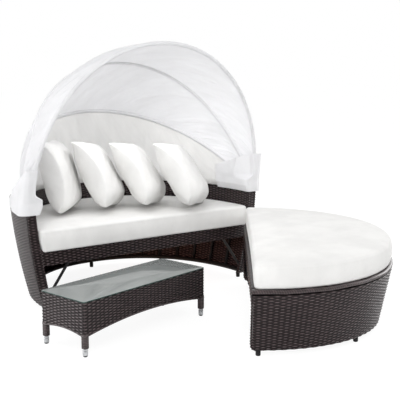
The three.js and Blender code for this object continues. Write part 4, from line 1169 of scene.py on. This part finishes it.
def smooth_route(points, count):
    """A smooth curve through points, at evenly spaced lengths: each span is a cubic whose end
    slopes weigh the chords by the square roots of their lengths."""
    points = np.asarray(points, float)
    line = np.concatenate([2 * points[:1] - points[1:2], points, 2 * points[-1:] - points[-2:-1]])
    step = np.linalg.norm(np.diff(line, axis=0), axis=1)[:, None] ** 0.5
    t = np.linspace(0, len(points) - 1 - 1e-9, 4000)
    k = t.astype(int)
    f = (t - k)[:, None]
    p0, p1, p2, p3 = (line[k + n] for n in range(4))
    d0, d1, d2 = (step[k + n] for n in range(3))
    first = ((p1 - p0) / d0 - (p2 - p0) / (d0 + d1) + (p2 - p1) / d1) * d1
    last = ((p2 - p1) / d1 - (p3 - p1) / (d1 + d2) + (p3 - p2) / d2) * d1
    chord = p2 - p1
    curve = p1 + first * f + (3 * chord - 2 * first - last) * f ** 2 + (first + last - 2 * chord) * f ** 3
    return evenly(curve, count)


def inner_leg_inset(rise, y):
    """How far inside the rim's outer edge a cover's inner leg hangs: close to the wall below the
    rim, clear of the bolt above it, and along the hoops higher up."""
    along_hoops = 0.044 + 0.09 * np.clip(rise - 0.070, 0, 0.130) + np.clip(0.47 * y, 0, 0.048)
    over_bolt = 0.070 + 0.019 * np.clip(1 + rise / 0.040, 0, 1)
    return over_bolt + (np.minimum(along_hoops, 0.092) - over_bolt) * smooth_share(rise, 0.033, 0.066)


def cover_points(side):
    """The cloth over one hinge: a route round the arm's front end in (inset, y), raised from its
    lower edge to its top, drawn in at the top and leaning forward with the front hoop."""
    share, level = grid_shares(160, 60)
    front, length, outer, inner, high = -0.0119, 0.270, -0.034, 0.092, 0.198
    route = smooth_route([
        (outer * 0.3, length), (outer * 0.75, length * 0.66), (outer, length * 0.3), (outer * 0.85, length * 0.03),
        (0, front), (0.050, front * 1.2), (inner * 0.93, front), (inner, length * 0.06), (inner, length * 0.3),
        (inner, length * 0.66), (inner, length)], len(share))
    inset, route_y = route[:, :1], route[:, 1:]
    outside = inset < 0
    behind = np.clip(route_y / length, 0, 1)
    bottom = -0.040 + np.where(outside, 0.030 * behind ** 2, 0)
    top = high + np.where(outside, (0.008 - high) * behind ** 0.8, (0.105 - high) * behind)
    rise = bottom + (top - bottom) * level
    y = route_y - np.maximum(rise - 0.025, 0) * math.tan(HOOPS["front"][2]) * (1 - behind) ** 4
    up = np.maximum(rise, 0) / high
    drawn = np.where(outside, 0.022 * up * inset / outer, 0)
    ruffle = np.where(outside, 0.003 * (1 - up) * np.sin(12 * math.pi * share), 0)
    creases = 0.0016 * ripples(share, level, ((5, 0.6, 0.5), (9, -1.2, 0.5), (3, 2.4, 0.4)), 41 + side)
    wall = SOFA.plan(SOFA.angle_at(y, SOFA.rim_height), SOFA.rim_height, 0)[0]
    leg = np.where(outside, inset, inset * inner_leg_inset(rise, y) / inner)
    return SOFA_PLACE.at(side * (wall - leg - drawn + ruffle + creases), y, SOFA.rim_height + rise)


class DAYBED_OT_covers(bpy.types.Operator):
    """Drape the cloth covers over the two hinges"""

    bl_idname = "daybed.covers"
    bl_label = "Hinge Covers"
    bl_options = {"REGISTER", "UNDO"}

    def execute(self, context):
        for name, side in SIDES:
            cover = cloth_piece(f"hinge_cloth_{name}", cover_points(side), "sewn canopy cloth", f"hinge_cover_{name}",
                                thickness=0.002)
            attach(cover, "root")
        return {"FINISHED"}


def cushion_outline(oval, z, inset, front_y, count):
    """The plan of a cushion: a straight front, two rounded corners and the half oval, evenly
    spaced by length, with its front drawn in by 5 mm between the corners."""
    half = oval.half_width(z) - inset
    front_x = np.linspace(CUSHION_CORNER - half, half - CUSHION_CORNER, 200)
    turn = np.linspace(0, math.pi / 2, 24)[1:-1]
    right = np.stack([half - CUSHION_CORNER + CUSHION_CORNER * np.sin(turn),
                      front_y + CUSHION_CORNER - CUSHION_CORNER * np.cos(turn)], axis=1)
    start = oval.angle_at(front_y + CUSHION_CORNER, z)
    x, y = oval.plan(np.linspace(start, math.pi - start, 1200), z, inset)
    pull = 0.005 * (1 - (front_x / half) ** 2)
    line = np.concatenate([np.stack([front_x, front_y + pull], axis=1), right, np.stack([x, y], axis=1),
                           right[::-1] * [-1, 1]])
    return evenly(np.concatenate([line, line[:1]]), count, closed=True)


def cushion_dome(oval, z, inset, front_y, x, y):
    """A cushion's rise from its edge, 0 to 1: (tanh(e / 0.11) tanh(f / 0.3))^0.8, e the distance
    from its straight front and f what the half oval leaves of 1."""
    half, depth = oval.half_width(z) - inset, oval.depth(z) - inset
    within = 1 - np.abs(x / half) ** PLAN_EXPONENT - np.abs(y / depth) ** PLAN_EXPONENT
    return (np.tanh(np.clip(y - front_y, 0, None) / 0.11) * np.tanh(np.clip(within, 0, None) / 0.3)) ** 0.8


def dented(points, presses):
    """A surface's points lowered under what presses on it: each pressing point allows a height of
    its own plus 0.7 d^2, d the distance in plan, and the least of these and the surface's own
    height is taken softly, -k log(sum exp(-h / k)) with k = 2 mm."""
    limit = np.full(len(points), 1.0)
    for block in np.array_split(presses, max(1, len(presses) // 400)):
        gap = ((points[:, None, :2] - block[None, :, :2]) ** 2).sum(axis=-1)
        limit = np.minimum(limit, (block[None, :, 2] - 0.0010 + 0.7 * gap).min(axis=1))
    own, k = points[:, 2], 0.002
    least = np.minimum(own, limit)
    soft = least - k * np.log(np.exp(-(own - least) / k) + np.exp(-(limit - least) / k))
    return np.concatenate([points[:, :2], np.where(limit > own + 0.012, own, soft)[:, None]], axis=1)


def boxed_cushion(name, oval, z, inset, front_y, height, seed, sag=0.0, flared=True, presses=None):
    """A boxed cushion. Rings of its plan go up the side by (inset, height) pairs, rounded at the
    two seams, and follow the flared wall. Then they shrink towards the middle of the top, which
    rises in a dome. Its lower front edge sags over the strip under it."""
    crown = sizes().cushion_crown
    body = height - crown
    low_in, low_up = LOWER_SEAM
    top_in, top_up = UPPER_SEAM
    turn = np.linspace(0, math.pi / 2, 9)
    bottom = np.stack([low_in * (1 - np.sin(turn)), low_up * (1 - np.cos(turn))], axis=1)
    hanging = np.array([(low_in, 0), (0.009, 0), (0.0015, -0.0004), (-0.0015, -0.0030), (-0.0040, -0.0060),
                        (-0.0068, -0.0058), (-0.0090, -0.0015), (-0.0095, 0.006), (-0.0090, low_up)])
    share = np.linspace(0, 1, 17)[1:-1]
    side = np.stack([-0.0040 * 4 * share * (1 - share), low_up + share * (body - low_up - top_in)], axis=1)
    turn = np.linspace(0, math.pi / 2 - 0.12, 9)
    top = np.stack([top_in * (1 - np.cos(turn)), body - top_in + top_up * np.sin(turn)], axis=1)
    rings = np.concatenate([bottom, side, top])
    front_rings = np.concatenate([hanging, side - np.outer((1 - share) ** 1.5, [0.0090, 0]), top])
    count = 720
    plans = [cushion_outline(oval, z + max(0.0, min(rise, body)) if flared else z, inset, front_y, count)
             for rise in rings[:, 1]]
    outline = np.stack(plans, axis=1)
    normal, _ = outward(outline)
    facing = sag * smooth_share(-normal[:, :1, 1], 0.5, 1.0)
    drawn, rise = (rings[None, :, k] + (front_rings - rings)[None, :, k] * facing for k in range(2))
    edge = outline - drawn[..., None] * normal
    around = np.linspace(0, 1, count, endpoint=False)[:, None]
    pucker = ripples(around, np.linspace(0, 1, len(rings))[None, :],
                     ((37, 0.5, 0.5), (61, -0.7, 0.35), (103, 0.4, 0.25)), seed)
    near_seam = np.exp(-np.abs(rise - (body - 0.010)) / 0.014) + 0.5 * np.exp(-np.abs(rise - 0.010) / 0.012)
    edge = edge + (0.0009 * pucker * near_seam)[..., None] * normal
    centre = np.array([0, (outline[:, 0, 1].min() + outline[:, 0, 1].max()) / 2])
    shrink = np.linspace(1, 0, 70)[1:][None, :, None]
    inner = centre + (edge[:, -1:] - centre) * shrink
    above = z + body if flared else z
    dome = cushion_dome(oval, above, inset + top_up, front_y + top_up, inner[..., 0], inner[..., 1])
    swells = ((1, 0.6, 0.6), (-0.7, 1.4, 0.5), (2.3, 1.1, 0.3))
    waves = ripples(inner[..., 0] * 1.6, inner[..., 1] * 2.1, swells, seed)
    last = rise[:, -1:]
    inner_z = last + (body + crown - last) * dome + 0.0022 * waves * dome
    base = centre + (edge[:, :1] - centre) * np.linspace(0, 1, 12)[:-1][None, :, None]
    flat = np.concatenate([base, edge, inner], axis=1)
    heights = np.concatenate([np.zeros(base.shape[:2]), rise, inner_z], axis=1)
    points = oval.place.at(flat[..., 0], flat[..., 1], z + heights)
    if presses is not None:
        upper = points[:, -inner.shape[1]:]
        points[:, -inner.shape[1]:] = dented(upper.reshape(-1, 3), presses).reshape(upper.shape)
    return surface(name, points, wrap_rows=True, weld=True)


class DAYBED_OT_cushions(bpy.types.Operator):
    """Fill the seat cushion and the ottoman cushion"""

    bl_idname = "daybed.cushions"
    bl_label = "Cushions"
    bl_options = {"REGISTER", "UNDO"}

    def execute(self, context):
        s = sizes()
        seat = boxed_cushion("seat_cushion_cloth", SOFA, SEAT_HEIGHT, CUSHION_INSET, CUSHION_FRONT,
                             s.seat_cushion_height, 51, sag=1.0, presses=pillow_undersides())
        finish(seat, "cushion cloth", "seat_cushion")
        stool = boxed_cushion("ottoman_cushion_cloth", OTTOMAN, SEAT_HEIGHT + 0.0003, OTTOMAN_CUSHION_INSET,
                              OTTOMAN_CUSHION_INSET, s.ottoman_cushion_height, 52, flared=False)
        finish(stool, "cushion cloth", "ottoman_cushion")
        return {"FINISHED"}


def pillow_points(seed, steps=84):
    """A square pillow. With p and q from -1 to 1 it is plump by f = ((1 - |p|^3.4) (1 - |q|^n))^0.7,
    n more at the bottom, where it rests. Its front face lies F f and its back B f from the middle
    sheet, which bows forward by (1 - f) (1 - q^2), so that the side seams lie near the front. The
    sides are drawn in by 8%, and creases run in from the seams."""
    line = np.sin(np.linspace(-math.pi / 2, math.pi / 2, steps + 1))
    p, q = np.meshgrid(line, line, indexing="ij")
    half = PILLOW_SIZE / 2
    blunt = 1 - np.where(q < 0, 0.15, 0.05) * (p * q) ** np.where(q < 0, 6, 8)
    x = half * p * blunt * (1 - 0.08 * (1 - q ** 2))
    z = half * q * blunt * (1 - 0.08 * (1 - p ** 2))
    power = np.where(q < 0, 6.0, 3.0)
    plump = (np.clip(1 - np.abs(p) ** 3.4, 0, 1) * np.clip(1 - np.abs(q) ** power, 0, 1)) ** 0.70
    bow = -PILLOW_BOW * (1 - plump) * (1 - q ** 2)
    rim = plump ** 0.5 * np.exp(-plump * 4)
    faces = []
    for sign, depth, waves in ((-1, PILLOW_FRONT, ((2.2, 1.1, 0.4), (-1.4, 2.6, 0.4), (3.6, -1.9, 0.25))),
                               (1, PILLOW_BACK, ((1.9, -1.3, 0.5), (1.2, 2.3, 0.4), (-2.9, 3.3, 0.2)))):
        creases = ripples(p, q, waves, seed + sign)
        seam = ripples(p + q, p - q, ((6.5, 2.0, 0.5), (2.0, 7.5, 0.5)), seed + 10 + sign)
        y = bow + sign * (0.001 + depth * plump + 0.0028 * creases * plump + 0.0035 * seam * rim)
        faces.append(np.stack([x, y, z], axis=-1))
    return faces


def placed_pillow(number):
    """The points of a pillow's two faces, turned, leant, rolled and pressed 11 mm into the seat."""
    turn, lean, roll = PILLOWS[number - 1]
    low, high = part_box(f"pillow_{number}")
    front, back = pillow_points(58 + 3 * number)
    spin = (Matrix.Rotation(math.radians(turn + 90), 3, "Z") @ Matrix.Rotation(-math.radians(lean), 3, "X")
            @ Matrix.Rotation(math.radians(roll), 3, "Y"))
    points = np.concatenate([front.reshape(-1, 3), back.reshape(-1, 3)]) @ np.array(spin).T
    return points + np.array((low + high) / 2) - [0, 0, PILLOW_SINK], front.shape[0]


def pillow_undersides():
    """The points of all pillows that lie lower than 14 mm above the lowest of their own."""
    found = []
    for number in range(1, len(PILLOWS) + 1):
        points, _ = placed_pillow(number)
        found.append(points[points[:, 2] < points[:, 2].min() + 0.014])
    return np.concatenate(found)


def pillow(name, number):
    """Two square faces joined round their edges by a seam of the least thickness."""
    points, n = placed_pillow(number)
    quads, _, _ = grid_faces(n, n)
    order = np.arange(n * n).reshape(n, n)
    rim = np.concatenate([order[0, :-1], order[:-1, -1], order[-1, :0:-1], order[:0:-1, 0]])
    band = np.stack([rim + n * n, np.roll(rim, -1) + n * n, np.roll(rim, -1), rim], axis=1)
    quads = np.concatenate([quads[:, ::-1], quads + n * n, band])
    return mesh_piece(name, points, (quads, []))


class DAYBED_OT_pillows(bpy.types.Operator):
    """Plump the four pillows"""

    bl_idname = "daybed.pillows"
    bl_label = "Pillows"
    bl_options = {"REGISTER", "UNDO"}

    def execute(self, context):
        for number in range(1, len(PILLOWS) + 1):
            made = finish(pillow(f"pillow_cloth_{number}", number), "cushion cloth", f"pillow_{number}")
        return {"FINISHED"}


WHITE, BROWN = (1.0, 1.0, 1.0), (1.0, 0.60, 0.42)

# Each lamp's name, place, target, size, power and colour. One hangs over the seat and one is under it
LAMPS = (
    ("key_lamp", (-4.6, -4.2, 3.4), (-0.1, 0.0, 0.4), 3.0, 122, WHITE),
    ("front_lamp", (-1.6, -4.6, 4.3), (0.0, 0.3, 0.45), 3.0, 90, WHITE),
    ("left_lamp", (-4.6, 2.4, 2.8), (-0.3, 0.2, 0.5), 3.0, 84, WHITE),
    ("right_lamp", (4.8, -0.4, 2.2), (0.4, -0.2, 0.5), 3.0, 96, WHITE),
    ("seat_lamp", (PIVOT[0] - 0.1, PIVOT[1] - 0.02, 1.24), (PIVOT[0] - 0.1, PIVOT[1] + 0.02, 0.45), 0.5, 2.2, WHITE),
    ("under_lamp", (0.0, 0.46, 0.23), (0.60, 0.74, 0.16), 0.18, 1.5, BROWN),
)


def set_floor():
    """A wide pale floor that glows white to the camera, seen through the glass too."""
    mesh = bpy.data.meshes.new("studio_floor")
    mesh.from_pydata([(-30, -30, 0), (30, -30, 0), (30, 30, 0), (-30, 30, 0)], [], [(0, 1, 2, 3)])
    floor = linked("studio_floor", mesh)
    f = Finish(bpy.data.materials.new("pale floor"))
    rays = f.rays("Camera").most(f.rays("Transmission"))
    base = f.node("ShaderNodeBsdfDiffuse", inputs={"Color": (0.86, 0.86, 0.86)})
    glow = f.node("ShaderNodeEmission", inputs={"Color": (1, 1, 1), "Strength": 1.12})
    mixed = f.node("ShaderNodeMixShader", inputs={0: rays * 0.82, 1: base, 2: glow})
    floor.data.materials.append(f.out(mixed))


def set_sky(scene):
    """A sky that is white to the camera and dimmer as light, and falls off on the camera's side,
    most of all in reflections."""
    world = bpy.data.worlds.new("studio")
    scene.world = world
    f = Finish(world)
    rays = f.rays("Camera").most(f.rays("Glossy")).most(f.rays("Transmission"))
    x, y, _ = f.split(f.coordinates("Generated"))
    ahead = f.clamp(x * -0.5 + y * -0.85, 0.1, 0.8)
    strength = ((0.57 + rays * 0.43) * (1 - ahead * (0.30 + rays * 0.50))).most(f.rays("Camera"))
    sky = f.node("ShaderNodeBackground", inputs={"Color": (1, 1, 1), "Strength": strength})
    f.out(sky, "ShaderNodeOutputWorld")


def set_lamps():
    """Square lamps turned to their targets. Only the two at the sides show in reflections."""
    for name, place, target, size, power, colour in LAMPS:
        light = bpy.data.lights.new(name, "AREA")
        light.energy, light.size, light.color = power, size, colour
        lamp = linked(name, light)
        lamp.location = place
        lamp.rotation_euler = (Vector(target) - Vector(place)).to_track_quat("-Z", "Y").to_euler()
        lamp.visible_camera = False
        lamp.visible_glossy = name in ("left_lamp", "right_lamp")


def set_camera(scene):
    """The fitted camera, level across."""
    camera = linked("camera", bpy.data.cameras.new("camera"))
    camera.data.lens, camera.data.sensor_width = CAMERA_LENS, CAMERA_SENSOR
    camera.data.clip_end = 200
    camera.location = (PIVOT[0] + CAMERA_SHIFT[0], PIVOT[1] + CAMERA_SHIFT[1], CAMERA_HEIGHT)
    camera.rotation_euler = Euler((math.radians(90 - CAMERA_DOWN), 0, math.radians(CAMERA_TURN)))
    scene.camera = camera


class DAYBED_OT_stage(bpy.types.Operator):
    """Set the pale floor, the soft lamps and the camera"""

    bl_idname = "daybed.stage"
    bl_label = "Stage"
    bl_options = {"REGISTER", "UNDO"}

    def execute(self, context):
        context.scene.view_settings.view_transform = "Standard"
        set_floor()
        set_sky(context.scene)
        set_lamps()
        set_camera(context.scene)
        return {"FINISHED"}


OPERATORS = (DAYBED_OT_walls, DAYBED_OT_frames, DAYBED_OT_feet, DAYBED_OT_table, DAYBED_OT_canopy,
             DAYBED_OT_covers, DAYBED_OT_cushions, DAYBED_OT_pillows, DAYBED_OT_stage)


class DAYBED_PT_panel(bpy.types.Panel):
    """Shows the set's sizes and colours, and a button for each group of pieces"""

    bl_idname = "DAYBED_PT_panel"
    bl_label = "Woven Daybed"
    bl_space_type = "VIEW_3D"
    bl_region_type = "UI"
    bl_category = "Daybed"

    def draw(self, context):
        for group in (context.scene.daybed_sizes, context.scene.daybed_colours):
            for name in group.bl_rna.properties.keys():
                if name not in ("rna_type", "name"):
                    self.layout.prop(group, name)
        for operator in OPERATORS:
            self.layout.operator(operator.bl_idname)


CLASSES = (DaybedSizes, DaybedColours, *OPERATORS, DAYBED_PT_panel)


def register():
    for made in CLASSES:
        bpy.utils.register_class(made)
    bpy.types.Scene.daybed_sizes = PointerProperty(type=DaybedSizes)
    bpy.types.Scene.daybed_colours = PointerProperty(type=DaybedColours)


def unregister():
    del bpy.types.Scene.daybed_sizes
    del bpy.types.Scene.daybed_colours
    for made in reversed(CLASSES):
        bpy.utils.unregister_class(made)


def main():
    register()
    for operator in OPERATORS:
        group, name = operator.bl_idname.split(".")
        getattr(getattr(bpy.ops, group), name)()


if __name__ == "__main__":
    main()
